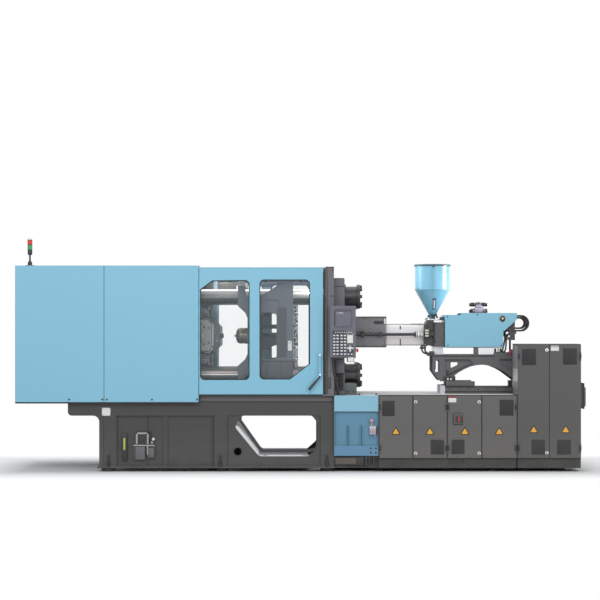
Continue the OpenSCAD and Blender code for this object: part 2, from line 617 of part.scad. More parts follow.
front_windows = [[[door_x0 + 10, door_z0 + 145], [door_x0 + 505, door_z0 + 145], [door_x0 + 505, door_z0 + 1145],
                  [door_x0 + 130, door_z0 + 1140], [door_x0 + 10, door_z0 + 1050]],
                 [[door_x0 + 605, door_z0 + 150], [door_x0 + 910, door_z0 + 150], [door_x0 + 1110, door_z0 + 305],
                  [door_x0 + 1110, door_z0 + 1150], [door_x0 + 605, door_z0 + 1150]]];
front_rounds = [[45, 45, 45, 12, 12], [45, 12, 12, 45, 45]];
rear_windows = [box_outline(door_x0 + 127, door_x0 + 611, door_z0 + 145, door_z0 + 1132),
                box_outline(door_x0 + 698, door_x0 + 1110, door_z0 + 145, door_z0 + 1132)];
rear_rounds = [[45, 45, 45, 45], [45, 45, 45, 45]];
handle_line = [[door_x1 - 30, door_z0 + 395], [door_x1 - 30, door_z0 + 195], [door_x1 - 150, door_z0 + 35]];

module front_door() cover_colour() {
    safety_door(front_windows, front_rounds);
    y = -cover_half - 28;
    for (i = [0:1]) hull() for (p = [handle_line[i], handle_line[i + 1]]) translate([p[0], y, p[1]]) sphere(r = 11, $fn = 24);
    for (p = [handle_line[0] - [0, 30], handle_line[2] + [18, 24]]) rod_y(y, -cover_half + 8, p[0], p[1], 8);
}

module rear_door() cover_colour() mirror([0, 1, 0]) safety_door(rear_windows, rear_rounds);

module panes(windows, rounds) color([0.80, 0.88, 0.92, 0.35])
    for (i = [0:1]) across(rounded(windows[i], rounds[i]), -cover_half + 20, -cover_half + 20 + pane_t);
module front_door_panes() panes(front_windows, front_rounds);
module rear_door_panes() mirror([0, 1, 0]) panes(rear_windows, rear_rounds);

// Central lubrication pump and the oil level gauge in the first recess
module lubrication_unit() color([0.55, 0.54, 0.52]) {
    x = leg_x1 + 170;
    z = pad_h + 75;
    y = -bed_half + 30;
    block([x, y - 22, z], [x + 110, y, z + 150]);
    block([x - 10, y - 30, z + 150], [x + 180, y, z + 166]);
    difference() {
        block([x + 15, y - 26, z + 166], [x + 140, y, z + 280]);
        block([x + 40, y - 27, z + 175], [x + 120, y - 14, z + 252]);
    }
    rod_z(z + 60, z + 150, x + 122, y - 14, 7);
    block([x + 138, y - 24, z + 20], [x + 215, y, z + 150]);
    rod_y(y - 24, y, x + 195, z + 215, 14);
    rod_y(y - 24, y, x + 182, z + 180, 11);
    block([leg_x1 + 55, y - 14, z], [leg_x1 + 92, y, z + 275]);
}

// A welded box of plates with a front that the doors close
module injection_bed() color([0.40, 0.40, 0.41]) {
    difference() {
        union() {
            block([inj_x0, -frame_face, pad_h], [inj_x1, bed_back, deck_z]);
            block([inj_x1, tail_front, pad_h], [tail_x1, bed_back, deck_z]);
        }
        difference() {
            union() {
                block([bay_x[0], -frame_face - 1, plinth_z + 10], [inj_x1 - plate_t, bed_back - 6, deck_z - plate_t]);
                block([inj_x0 + plate_t, -bed_half + 35, pad_h + 6], [bay_x[0] - plate_t / 2, bed_back - 6, deck_z - plate_t]);
                block([inj_x1 + plate_t, tail_front + 6, pad_h + 6], [tail_x1 - 6, bed_back - 6, deck_z - plate_t]);
            }
            for (i = [1, 2, 3]) block([bay_x[i] - plate_t / 2, -frame_face, pad_h], [bay_x[i] + plate_t / 2, bed_back, deck_z]);
            block([bay_x[0], -frame_face, pad_h], [bay_x[0] + plate_t / 2, bed_back, deck_z]);
        }
        block([inj_x0 - 1, -frame_face - 1, pad_h - 1], [bay_x[0], -bed_half + 15, deck_z + 1]);
        block([bay_x[2] + 15, -frame_face - 1, plinth_z - 55], [bay_x[2] + 165, -frame_face + 12, plinth_z - 10]);
        latch_slots(0, 3);
    }
    frame_hinges(0, 3);
}

// Slots in the frame behind which the latch tongues catch
module latch_slots(first, last) for (l = latches) if (l[0] >= first && l[0] <= last) {
    d = cab_doors[l[0]];
    x = d[4] < 0 ? d[1] : d[0];
    block([x - 16, -frame_face + 3, l[1] - 16], [x + 16, -frame_face + 16, l[1] + 31]);
}

// The blue cooling water cabinet with its cooling water battery
module water_box() color([0.36, 0.58, 0.70]) {
    y = -bed_half + 15;
    x0 = bed_x1 + 3;
    z0 = 160;
    difference() {
        block([x0, -door_face, z0], [bay_x[0] - 5, -bed_half - 5, deck_z]);
        block([x0 + 4, -door_face - 1, z0 + 100], [bay_x[0] - 9, -door_face + 25, deck_z - 165]);
        for (x = [bay_x[0] - 80, bay_x[0] - 30]) for (z = [z0 + 30, z0 + 75]) rod_y(-door_face - 1, -door_face + 12, x, z, 10);
    }
    block([seat_x1, -bed_half - 5, z0], [bay_x[0] - 5, y, deck_z]);
    for (x = [x0 + 130, x0 + 265]) block([x - 3, -door_face + 6, z0 + 100], [x + 3, -door_face + 25, z0 + 300]);
    rod_y(-door_face + 4, -door_face + 25, bay_x[0] - 75, 510, 22);
    block([bay_x[0] - 95, -door_face + 3, 370], [bay_x[0] - 30, -door_face + 25, 460]);
    for (x = [bay_x[0] - 84, bay_x[0] - 42]) rod_z(340, 370, x, -door_face + 14, 8);
}

// Electric motor with the hydraulic pump, on the floor of the third bay
module hydraulic_pump() color([0.35, 0.42, 0.46]) {
    z = plinth_z + 10;
    x = (bay_x[2] + bay_x[3]) / 2;
    block([x - 110, -330, z], [x + 110, 60, z + 40]);
    rod_y(-300, 40, x, z + 165, 126);
    rod_y(40, 90, x, z + 165, 95);
    rod_y(90, 250, x, z + 165, 62);
    block([x - 40, -240, z + 285], [x + 40, -60, z + 345]);
}

// Shell and tube oil cooler on the far side of the injection bed
module oil_cooler() color([0.48, 0.50, 0.51]) {
    y = bed_back + 130;
    x = bay_x[1];
    rod_x(x - 20, x + 560, y, 420, 58);
    for (s = [-20, 530]) rod_x(x + s - 25, x + s + 25, y, 420, 70);
    for (s = [70, 440]) block([x + s, bed_back, 380], [x + s + 30, y, 440]);
    for (s = [60, 470]) rod_z(470, 510, x + s, y, 22);
}

module tall_cabinet() color([0.37, 0.37, 0.38]) {
    difference() {
        block([tall_x0, -frame_face, pad_h], [tall_x1, tall_back, tall_z]);
        block([tall_x0 + 6, -frame_face - 1, plinth_z + 10], [tall_mid - plate_t / 2, tall_back - 6, tall_z - 20]);
        block([tall_mid + plate_t / 2, -frame_face - 1, plinth_z + 10], [tall_x1 - 6, tall_back - 6, tall_z - 20]);
        latch_slots(4, 5);
    }
    frame_hinges(4, 5);
    for (y = [-frame_face + 60, tall_back - 100]) for (z = [200, deck_z - 105])
        block([inj_x1, y, z], [tall_x0, y + 40, z + 40]);
    for (x = [tall_x0 + 50, tall_mid + 50]) {
        block([x, tall_back - 16, 220], [x + 220, tall_back - 6, 1180]);
        for (z = [300, 480, 660, 840, 1020]) block([x + 20, tall_back - 76, z], [x + 200, tall_back - 16, z + 100]);
    }
    block([tall_x1, -frame_face + 70, 640], [x_right - 8, tall_back - 70, 870]);
    block([x_right - 8, -frame_face + 55, 625], [x_right, tall_back - 55, 885]);
}

// A folded sheet door with louvres and two hinge barrels
module cabinet_door(i) color(i > 3 ? [0.36, 0.36, 0.37] : [0.42, 0.42, 0.42]) {
    d = cab_doors[i];
    x0 = d[0] + gap / 2;
    x1 = d[1] - gap / 2;
    difference() {
        union() {
            block([x0, -door_face, d[2]], [x1, -frame_face - seal_t, d[3]]);
            for (z = hinge_z(d)) {
                rod_z(z - 30, z + 30, hinge_x(d), hinge_y, hinge_r);
                block([hinge_x(d) - (d[4] < 0 ? 3 : 24), -door_face - 4, z - 30],
                      [hinge_x(d) + (d[4] < 0 ? 24 : 3), -door_face, z + 30]);
            }
        }
        for (z = hinge_z(d)) rod_z(z - 31, z + 31, hinge_x(d), hinge_y, hinge_r / 2 + 0.05);
        block([x0 + 3, -door_face + 3, d[2] + 3], [x1 - 3, -frame_face + 1, d[3] - 3]);
        for (v = vents[i]) for (z = [0:14:v[3] - 8])
            block([x0 + v[0] * stretch, -door_face - 1, v[1] + z],
                  [x0 + (v[0] + v[2]) * stretch, -door_face + 4, v[1] + z + 7]);
        for (l = latches) if (l[0] == i) rod_y(-door_face - 1, -door_face + 4, latch_x(l), l[1], 6 + slip);
        if (i == 2) rod_y(-door_face - 1, -door_face + 4, switch_x, 530, 8 + slip);
    }
}

function hinge_x(d) = d[4] < 0 ? d[0] + 8.5 : d[1] - 8.5;
function hinge_z(d) = [d[2] + 100, d[3] - 115];

// The hinge halves on the frame: pins, and knuckles on tabs that pass between the doors
module frame_hinges(first, last) for (i = [first:last]) {
    d = cab_doors[i];
    edge = d[4] < 0 ? d[0] : d[1];
    for (z = hinge_z(d)) {
        rod_z(z - 44, z + 44, hinge_x(d), hinge_y, hinge_r / 2);
        for (s = [-44, 31]) {
            rod_z(z + s, z + s + 13, hinge_x(d), hinge_y, hinge_r);
            block([min(edge, hinge_x(d)) - 1, hinge_y, z + s], [max(edge, hinge_x(d)) + 1, -door_face - slip, z + s + 13]);
            block([edge - 1, hinge_y, z + s], [edge + 1, -frame_face, z + s + 13]);
        }
    }
}

function latch_x(l) = let (d = cab_doors[l[0]]) d[4] < 0 ? d[1] - latch_in : d[0] + latch_in;
switch_x = bay_x[2] + 115;

// A quarter turn latch: knob, spindle and a tongue that stands upright when it is open
module latch(k) color([0.78, 0.78, 0.79]) {
    l = latches[k];
    x = latch_x(l);
    rod_y(-door_face - 10, -door_face - slip, x, l[1], latch_r);
    rod_y(-door_face - slip, -frame_face + 12, x, l[1], 6);
    block([x - 3, -door_face - 18, l[1] - latch_r + 3], [x + 3, -door_face - 10, l[1] + latch_r - 3]);
    block([x - 7, -frame_face + 6, l[1] - 7], [x + 7, -frame_face + 12, l[1] + 34]);
}

module main_switch() color([0.75, 0.12, 0.12]) {
    rod_y(-door_face - 12, -door_face - slip, switch_x, 530, 30);
    rod_y(-door_face - slip, -door_face + 18, switch_x, 530, 8);
    block([switch_x - 8, -door_face - 34, 504], [switch_x + 8, -door_face - 12, 556]);
}

module control_panel() color([0.43, 0.42, 0.47]) {
    difference() {
        along(rounded([[panel_y0, panel_z0 + 8], [panel_y1, panel_z0], [panel_y1, panel_z0 + panel_h],
                       [panel_y0 + 12, panel_z0 + panel_h]], [8, 4, 4, 6]), panel_x0, panel_x0 + panel_w);
        block([panel_x0 + 42, panel_y0 - 1, panel_z0 + 318], [panel_x0 + 212, panel_y0 + 18, panel_z0 + 482]);
        rod_x(panel_x0 + panel_w - 30, panel_x0 + panel_w + 1, panel_y0 + 38, stop_z, 11 + slip);
    }
    block([panel_x0 + 165, panel_y0 + 5, panel_z0 - 35], [panel_x0 + 235, panel_y0 + 45, panel_z0 + 4]);
    rod_z(panel_z0 + 40, panel_z0 + panel_h - 40, pivot_x, pivot_y, 8);
    for (z = [panel_z0 + 36, panel_z0 + panel_h - 56])
        block([pivot_x - 10, panel_y1, z], [pivot_x + 10, pivot_y + 8, z + 20]);
}

module emergency_stop() color([0.80, 0.10, 0.10]) {
    rod_x(panel_x0 + panel_w - 20, panel_x0 + panel_w + 10, panel_y0 + 38, stop_z, 11);
    rod_x(panel_x0 + panel_w + 10, panel_x0 + panel_w + 26, panel_y0 + 38, stop_z, 19);
}

// The rails of the injection carriage and the rods that pull it to the platen
module carriage_rails() color([0.62, 0.62, 0.62]) both_sides() {
    block([feed_x0 + 165, -carriage_half, deck_z], [feed_x0 + 210, -rail_y0, deck_z + 85]);
    block([feed_x0 + 210, -carriage_half + 10, deck_z], [tail_x1 - 25, -rail_y0 - 10, deck_z + 25]);
    block([feed_x0 + 210, -carriage_half, deck_z + 25], [tail_x1 - 25, -rail_y0, deck_z + 70]);
    rod_x(fixed_x1, feed_x1 + 120, -rod_y, rod_z, pull_rod_r);
}

// Side outline of the carriage, an arched casting
carriage_side = concat([[feed_x0 + 85, carriage_z - 170], [feed_x0 + 150, carriage_z - 262],
                        [feed_x0 + 165, carriage_z - 275], [feed_x0 + 290, carriage_z - 275],
                        [feed_x0 + 290, carriage_z - 230]],
                       [for (i = [1:9]) let (t = i / 10) [feed_x0 + 290 + 600 * t, carriage_z - 230 + 500 * t * (1 - t)]],
                       [[feed_x0 + 890, carriage_z - 230], [feed_x0 + 950, carriage_z - 275],
                        [feed_x0 + 1090, carriage_z - 275], [feed_x0 + 1090, carriage_z + 20],
                        [feed_x0 + 720, carriage_z + 20], [feed_x0 + 700, carriage_z], [feed_x0 + 85, carriage_z]]);

module carriage_frame() color([0.33, 0.33, 0.35]) {
    difference() {
        both_sides() across(carriage_side, -carriage_half, -carriage_half + 35);
        across(rounded(box_outline(feed_x0 + 110, feed_x0 + 140, carriage_z - 180, carriage_z - 65), 12),
               -carriage_half - 1, -carriage_half + 36);
        across(rounded([[feed_x0 + 270, carriage_z - 140], [feed_x0 + 340, carriage_z - 105],
                        [feed_x0 + 340, carriage_z - 80], [feed_x0 + 270, carriage_z - 80]], 8),
               -carriage_half - 1, -carriage_half + 36);
        across(rounded(box_outline(feed_x0 + 135, feed_x0 + 182, carriage_z - 192, carriage_z - 60), 12),
               carriage_half - 36, carriage_half + 1);
        across(rounded([[feed_x0 + 303, carriage_z - 156], [feed_x0 + 340, carriage_z - 156],
                        [feed_x0 + 391, carriage_z - 120], [feed_x0 + 391, carriage_z - 82],
                        [feed_x0 + 303, carriage_z - 82]], 8), carriage_half - 36, carriage_half + 1);
        both_sides() across(rounded([[feed_x0 + 210, carriage_z - 70], [feed_x0 + 225, carriage_z - 205], [feed_x0 + 285, carriage_z - 205],
                        [feed_x0 + 470, carriage_z - 90], [feed_x0 + 465, carriage_z - 70]], 12), -carriage_half - 1, -carriage_half + 10);
        both_sides() across(rounded([[feed_x0 + 760, carriage_z - 60], [feed_x0 + 790, carriage_z - 105], [feed_x0 + 900, carriage_z - 165],
                        [feed_x0 + 1000, carriage_z - 180], [feed_x0 + 1000, carriage_z - 60]], 12), -carriage_half - 1, -carriage_half + 10);
    }
    block([feed_x0 + 92, -carriage_half + 35, carriage_z - 25], [feed_x0 + 1090, carriage_half - 35, carriage_z]);
    both_sides() for (x = [[feed_x0 + 233, feed_x0 + 517], [feed_x0 + 908, feed_x0 + 1090]])
        block([x[0], -carriage_half, deck_z + 70], [x[1], -rail_y0, carriage_z - 275]);
    block([feed_x0 + 100, -150, carriage_z], [feed_x1, 150, feed_z0]);
    block([feed_x0 + 519, -cowl_half, carriage_z], [feed_x0 + 557, -60, cowl_z0]);
    both_sides() block([feed_x0 + 557, -cowl_half, carriage_z], [feed_x0 + 715, -cowl_half + 120, cowl_z0]);
}

// The feed housing with the throat, the carriage cylinders' glands and the guide rods of the drive
module feed_housing() color([0.37, 0.37, 0.38]) {
    difference() {
        union() {
            across(rounded([[feed_x0, feed_z0 + 30], [feed_x0 + 100, feed_z0], [feed_x0 + 100, feed_z1],
                            [feed_x0 + 40, feed_z1], [feed_x0, feed_z1 - 70]], [20, 0, 0, 20, 20]), -feed_half + 30, feed_half - 30);
            block([feed_x0 + 100, -feed_half, feed_z0], [feed_x1, feed_half, feed_z1 - 20]);
            both_sides() rod_x(feed_x0 - 85, feed_x0 + 100, -rod_y, rod_z, pull_rod_r + 13);
        }
        rod_x(feed_x0 - 1, feed_x1 + 1, 0, axis_z, barrel_r);
        rod_z(axis_z, feed_z1 + 1, hopper_x, 0, 27);
        both_sides() rod_x(feed_x0 - 86, feed_x1 + 1, -rod_y, rod_z, pull_rod_r + slip);
        both_sides() rod_x(feed_x1 - 60, feed_x1 + 1, -120, axis_z, 20);
    }
    both_sides() rod_x(feed_x1 - 60, feed_x1 + 440, -120, axis_z, 20);
}

module barrel() color([0.55, 0.54, 0.53]) difference() {
    turned_x(nozzle_x, axis_z, [[3, 0], [12, 0], [24, 20], [24, 150], [44, 170], [44, 215], [76, 215], [76, 300],
        [barrel_r, 300], [barrel_r, barrel_l], [screw_r + screw_gap, barrel_l], [screw_r + screw_gap, 270], [3, 225]]);
    rod_z(axis_z, axis_z + 100, hopper_x, 0, 27);
}

// The polished sheet guard around the heated barrel
module barrel_cover() color([0.85, 0.85, 0.84]) {
    x0 = guard_x1 + 5;
    y = 110;
    z0 = axis_z - 100;
    difference() {
        along(rounded(box_outline(-y, y, z0, z0 + 220), 30), x0, feed_x0);
        along(rounded(box_outline(-y + 2, y - 2, z0 + 2, z0 + 218), 28), x0 - 1, feed_x0 + 1);
    }
    both_sides() block([x0 + 156, -y - 3, z0 + 40], [x0 + 164, -y, z0 + 180]);
}

// The sliding guard around the nozzle, carried on the pull rods
module nozzle_guard() color([0.43, 0.43, 0.43]) {
    z0 = axis_z - 110;
    z1 = z0 + 300;
    difference() {
        along(rounded(box_outline(-guard_half, guard_half, z0, z1), 12), guard_x0, guard_x1);
        along(rounded(box_outline(-guard_half + 3, guard_half - 3, z0 + 3, z1 - 3), 9), guard_x0 - 1, guard_x1 + 1);
        across(rounded(box_outline(guard_x1 - 110, guard_x1 - 10, z1 - 70, z1 - 35), 15), -guard_half - 1, -guard_half + 4);
    }
    both_sides() for (x = [guard_x1 - 240, guard_x1 - 60]) difference() {
        block([x, -rod_y - 24, rod_z - 24], [x + 30, -guard_half, rod_z + 24]);
        rod_x(x - 1, x + 31, -rod_y, rod_z, pull_rod_r + slip);
    }
}

// The plasticising screw, with its flight as a twisted extrusion
module screw() color([0.70, 0.70, 0.71]) {
    translate([screw_x0, 0, axis_z]) rotate([0, 90, 0]) {
        linear_extrude(flight_l, twist = 360 * flight_turns, slices = flight_turns * 9, $fn = 4) union() {
            circle(r = screw_r * 0.7, $fn = 8);
            translate([0, -3]) square([screw_r - 0.4, 6]);
        }
    }
    translate([screw_x0 - 20, 0, axis_z]) rotate([0, 90, 0]) cylinder(h = 20, r1 = 4, r2 = screw_r * 0.7);
    rod_x(screw_x0 + flight_l, drive_x0, 0, axis_z, screw_r - 0.2);
}

// The drive that turns and pushes the screw, sliding on the guide rods
module injection_drive() color([0.34, 0.35, 0.36]) difference() {
    union() {
        block([drive_x0, -170, axis_z - 90], [drive_x0 + 60, 170, axis_z + 90]);
        rod_x(drive_x0 + 60, drive_x0 + 160, 0, axis_z, 82);
        rod_x(drive_x0 + 160, drive_x0 + 230, 0, axis_z, 66);
    }
    both_sides() rod_x(drive_x0 - 1, drive_x0 + 61, -120, axis_z, 20 + slip);
}

cowl_side = [[cowl_x0, cowl_z0], [cowl_x0 + 602, cowl_z0], [cowl_x0 + 602, cowl_z0 + 163], [cowl_x0 + 620, cowl_z0 + 174],
             [cowl_x1 - 5, cowl_z1 - 70], [cowl_x1, cowl_z1], [cowl_x0 + 170, cowl_z1], [cowl_x0 + 160, cowl_z1 - 20],
             [cowl_x0, cowl_z1 - 20]];

// The blue cowl over the injection drive, open below and at the slanted tail
module injection_cover() cover_colour() difference() {
    across(cowl_side, -cowl_half, cowl_half);
    block([cowl_x0 + 3, -cowl_half + 3, cowl_z0 - 1], [cowl_x0 + 168, cowl_half - 3, cowl_z1 - 23]);
    block([cowl_x0 + 160, -cowl_half + 3, cowl_z0 - 1], [cowl_x1 + 10, cowl_half - 3, cowl_z1 - 3]);
    rod_x(cowl_x0 - 1, cowl_x0 + 4, 0, axis_z, 60);
    both_sides() rod_x(cowl_x0 - 1, cowl_x0 + 4, -120, axis_z, 22);
    both_sides() rod_x(cowl_x0 - 1, cowl_x0 + 4, -rod_y, rod_z, pull_rod_r + 3);
}

// The valve stack on the cowl and the manifold at its tail
module valve_blocks() color([0.62, 0.63, 0.68]) {
    x = cowl_x0 + 270;
    z = cowl_z1;
    block([x + 25, -55, z], [x + 165, 55, z + 45]);
    block([x + 70, -32, z + 45], [x + 120, 32, z + 110]);
    for (y = [-24, 24]) rod_x(x + 5, x + 70, y, z + 88, 18);
    for (y = [-24, 24]) rod_x(x + 120, x + 185, y, z + 88, 18);
    for (s = [0, 165]) rod_x(x + s, x + s + 25, 0, z + 20, 17);
    m = cowl_x1 - 75;
    block([m + 15, -12, carriage_z], [m + 35, 12, cowl_z0 + 75]);
    block([m, -150, cowl_z0 + 75], [m + 60, 150, cowl_z1 - 8]);
}

// A round tube swept along a route of points
module tube_along(route, r, sides = 10) {
    n = len(route);
    rings = [for (i = [0:n - 1])
        let (t = unit(route[min(i + 1, n - 1)] - route[max(i - 1, 0)]), a = [0, 1, 0], b = cross(t, a))
        for (k = [0:sides - 1]) route[i] + r * (a * cos(k * 360 / sides) + b * sin(k * 360 / sides))];
    walls = [for (i = [0:n - 2]) for (k = [0:sides - 1])
        [i * sides + k, i * sides + (k + 1) % sides, (i + 1) * sides + (k + 1) % sides, (i + 1) * sides + k]];
    polyhedron(rings, concat([[for (k = [sides - 1:-1:0]) k]], walls, [[for (k = [0:sides - 1]) (n - 1) * sides + k]]));
}

// Hoses from the tail of the cowl round to the manifold
module hoses() color([0.09, 0.09, 0.10])
    for (k = [0:3]) {
        start = [hose_x, hose_ports[k], hose_z - 20 * (k % 2)];
        tube_along([for (p = hose_route(77 - 4 * (k % 2))) start + p], hose_r);
    }

module hopper() cover_colour() {
    difference() {
        translate([hopper_x, 0, 0]) rotate_extrude() polygon([[27, feed_z1 + 40], [hopper_r, feed_z1 + 316],
            [hopper_r, hopper_z], [hopper_r + 8, hopper_z], [hopper_r + 8, hopper_z + 6], [hopper_r - 3, hopper_z + 6],
            [hopper_r - 3, feed_z1 + 318], [27, feed_z1 + 46]]);
        translate([0, 0, feed_z1]) rod_z(0, 60, hopper_x, 0, 20);
    }
    difference() {
        union() {
            block([hopper_x - 70, -80, feed_z1], [hopper_x + 90, 80, feed_z1 + 14]);
            rod_z(feed_z1 + 14, feed_z1 + 42, hopper_x, 0, 32);
        }
        rod_z(feed_z1 - 1, feed_z1 + 60, hopper_x, 0, 26);
    }
    for (x = [hopper_x - 40, hopper_x + 31]) {
        block([x, hopper_r - 2, hopper_z - 14], [x + 9, lid_hinge_y + 5, hopper_z + 5]);
        block([x, hopper_r + 9, hopper_z], [x + 9, lid_hinge_y + 5, lid_hinge_z + 5]);
    }
    rod_x(hopper_x - 40, hopper_x + 40, lid_hinge_y, lid_hinge_z, 2.5);
}

module hopper_lid() cover_colour() {
    translate([hopper_x, 0, hopper_z + 6]) cylinder(h = 8, r1 = hopper_r + 5, r2 = hopper_r - 10);
    difference() {
        union() {
            block([hopper_x - 30, hopper_r - 10, hopper_z + 6], [hopper_x + 30, lid_hinge_y, hopper_z + 9]);
            rod_x(hopper_x - 30, hopper_x + 30, lid_hinge_y, lid_hinge_z, 5);
        }
        rod_x(hopper_x - 31, hopper_x + 31, lid_hinge_y, lid_hinge_z, 2.55);
    }
}

clamp_bed();
levelling_pads();
drop_chute();
tie_bars();
tie_bar_nuts();
fixed_platen();
rear_platen();
clamp_cylinder();
moving_platen();
ejector_rod();
crosshead();
upper_rear_link();
lower_rear_link();
upper_front_link();
lower_front_link();
upper_cross_link();
lower_cross_link();
rear_cover();
mid_cover();
cover_screws();
signal_beacon();
guard_frame();
front_door();
front_door_panes();
rear_door();
rear_door_panes();
lubrication_unit();
injection_bed();
water_box();
hydraulic_pump();
oil_cooler();
tall_cabinet();
cabinet_door(0);  // cabinet_door_1
cabinet_door(1);  // cabinet_door_2
cabinet_door(2);  // cabinet_door_3
cabinet_door(3);  // cabinet_door_4
cabinet_door(4);  // cabinet_door_5
cabinet_door(5);  // cabinet_door_6
latch(0);  // latch_1
latch(1);  // latch_2
latch(2);  // latch_3
latch(3);  // latch_4
latch(4);  // latch_5
latch(5);  // latch_6
main_switch();
control_panel();
emergency_stop();
carriage_rails();
carriage_frame();
feed_housing();
barrel();
barrel_cover();
nozzle_guard();
screw();
injection_drive();
injection_cover();
valve_blocks();
hoses();
hopper();
hopper_lid();
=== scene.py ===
"""Dresses an injection moulding machine for rendering, in the frame of its CAD model.

Sizes are in millimetres, in the machine's own frame, and become metres when a mesh is made.
"""
from __future__ import annotations

import logging
import math
import random
from collections.abc import Iterable, Sequence
from dataclasses import dataclass, replace
from enum import Enum
from functools import cached_property

import bmesh
import bpy
from mathutils import Matrix, Vector

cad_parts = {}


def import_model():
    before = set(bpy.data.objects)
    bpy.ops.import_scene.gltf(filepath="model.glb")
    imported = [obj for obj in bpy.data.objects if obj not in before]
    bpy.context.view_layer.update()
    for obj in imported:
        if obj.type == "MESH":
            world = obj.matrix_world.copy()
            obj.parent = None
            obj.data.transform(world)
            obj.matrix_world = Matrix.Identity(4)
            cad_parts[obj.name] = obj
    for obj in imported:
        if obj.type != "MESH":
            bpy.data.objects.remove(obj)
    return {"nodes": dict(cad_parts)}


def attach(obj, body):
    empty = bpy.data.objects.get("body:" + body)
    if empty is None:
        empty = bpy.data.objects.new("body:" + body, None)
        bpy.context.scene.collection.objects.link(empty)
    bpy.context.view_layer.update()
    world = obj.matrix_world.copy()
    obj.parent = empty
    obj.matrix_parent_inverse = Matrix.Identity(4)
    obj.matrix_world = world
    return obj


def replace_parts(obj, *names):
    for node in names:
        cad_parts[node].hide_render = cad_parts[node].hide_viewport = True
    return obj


Point = tuple[float, float, float]
Flat = tuple[float, float]
Colour = tuple[int, int, int]
Inputs = dict[str | int, object]

MM = 0.001
LOG = logging.getLogger("machine")

FRONT = -720.0
PANEL_FACE = -840.0
DOOR_FACE = -700.0
BED_FACE = -660.0
AXIS_Z = 1360.0

EDGE_RADIUS = 0.004
DUST: Colour = (150, 146, 138)
DUST_HEIGHT = 0.45
POINTED = 0.01
SHARP_ANGLE = 32.0
WHITE = (1.0, 1.0, 1.0, 1.0)
SKY = (0.92, 0.96, 1.0, 1.0)
SKY_STRENGTH = 0.445


class Axis(Enum):
    """The main directions of the machine."""

    X = (1.0, 0.0, 0.0)
    Y = (0.0, 1.0, 0.0)
    Z = (0.0, 0.0, 1.0)


class Grain(Enum):
    """How a surface is finished."""

    PAINT = "smooth paint"
    TEXTURED = "textured paint"
    CAST = "painted casting"
    BRUSHED = "brushed metal"
    POLISHED = "polished metal"
    PLASTIC = "moulded plastic"
    RUBBER = "rubber"
    CLEAR = "clear plastic or glass"
    LAMP = "lamp lens"


def linear(colour: Colour) -> tuple[float, float, float, float]:
    """Turn a display colour into the renderer's linear colour.

    Args:
        colour: Red, green and blue from 0 to 255.

    Returns:
        The linear colour with full alpha.
    """
    def channel(value: int) -> float:
        """Give the linear value of one channel."""
        share = value / 255
        return share / 12.92 if share <= 0.04045 else ((share + 0.055) / 1.055) ** 2.4

    return (channel(colour[0]), channel(colour[1]), channel(colour[2]), 1.0)


# Shaders


class NodeGraph:
    """A short way to add and join nodes in a tree."""

    def __init__(self, tree: bpy.types.NodeTree) -> None:
        """Keep the tree that the nodes go into."""
        self.tree = tree

    def add(self, kind: str, given: Inputs | None = None, **settings: object) -> bpy.types.Node:
        """Add a node.

        Args:
            kind: The node's type name.
            given: A socket or a value for each input, by the input's name or number.
            **settings: Properties of the node.

        Returns:
            The new node.
        """
        node = self.tree.nodes.new(kind)
        for name, value in settings.items():
            setattr(node, name, value)
        self.fill(node, given or {})
        return node

    def fill(self, node: bpy.types.Node, given: Inputs) -> None:
        """Give a node's inputs what they need.

        Args:
            node: The node.
            given: A socket or a value for each input, by the input's name or number.
        """
        for label, value in given.items():
            if isinstance(value, bpy.types.NodeSocket):
                self.tree.links.new(value, node.inputs[label])
            else:
                node.inputs[label].default_value = value

    def call(self, group: bpy.types.NodeTree, given: Inputs) -> bpy.types.NodeOutputs:
        """Place a shader group with its own values and give its outputs."""
        return self.add("ShaderNodeGroup", given, node_tree=group).outputs

    def maths(self, operation: str, first: object, second: object = 0.0,
              clamp: bool = False) -> bpy.types.NodeSocket:
        """Add a maths node.

        Args:
            operation: The sum to do.
            first: A socket or a number.
            second: A socket or a number.
            clamp: Whether the answer is kept from 0 to 1.

        Returns:
            The socket with the answer.
        """
        node = self.add("ShaderNodeMath", {0: first, 1: second}, operation=operation, use_clamp=clamp)
        return node.outputs[0]

    def vectors(self, operation: str, first: object, second: object) -> bpy.types.Node:
        """Add a node that works on two vectors."""
        return self.add("ShaderNodeVectorMath", {0: first, 1: second}, operation=operation)

    def noise(self, place: bpy.types.NodeSocket, scale: object, detail: float,
              roughness: float = 0.5) -> bpy.types.NodeSocket:
        """Add a noise pattern.

        Args:
            place: The coordinates.
            scale: How fine the pattern is, as a socket or a number.
            detail: How many finer patterns lie on it.
            roughness: How strong the finer patterns are.

        Returns:
            The socket with the pattern's level.
        """
        given = {"Vector": place, "Scale": scale, "Detail": detail, "Roughness": roughness}
        return self.add("ShaderNodeTexNoise", given).outputs["Fac"]

    def mix(self, share: object, first: object, second: object) -> bpy.types.NodeSocket:
        """Mix two colours.

        Args:
            share: How much of the second colour, as a socket or a number.
            first: A socket or a linear colour.
            second: A socket or a linear colour.

        Returns:
            The socket with the mixed colour.
        """
        return self.add("ShaderNodeMix", {0: share, 6: first, 7: second}, data_type="RGBA").outputs[2]

    def blend(self, mask: bpy.types.NodeSocket, first: object, second: float) -> object:
        """Mix two numbers by a mask.

        Args:
            mask: The share of the second number.
            first: A socket or a number.
            second: A number.

        Returns:
            The mixed number, or the number itself where both are the same.
        """
        if first == second:
            return first
        keep = self.maths("MULTIPLY", self.maths("SUBTRACT", 1.0, mask), first)
        return self.maths("ADD", keep, self.maths("MULTIPLY", mask, second))


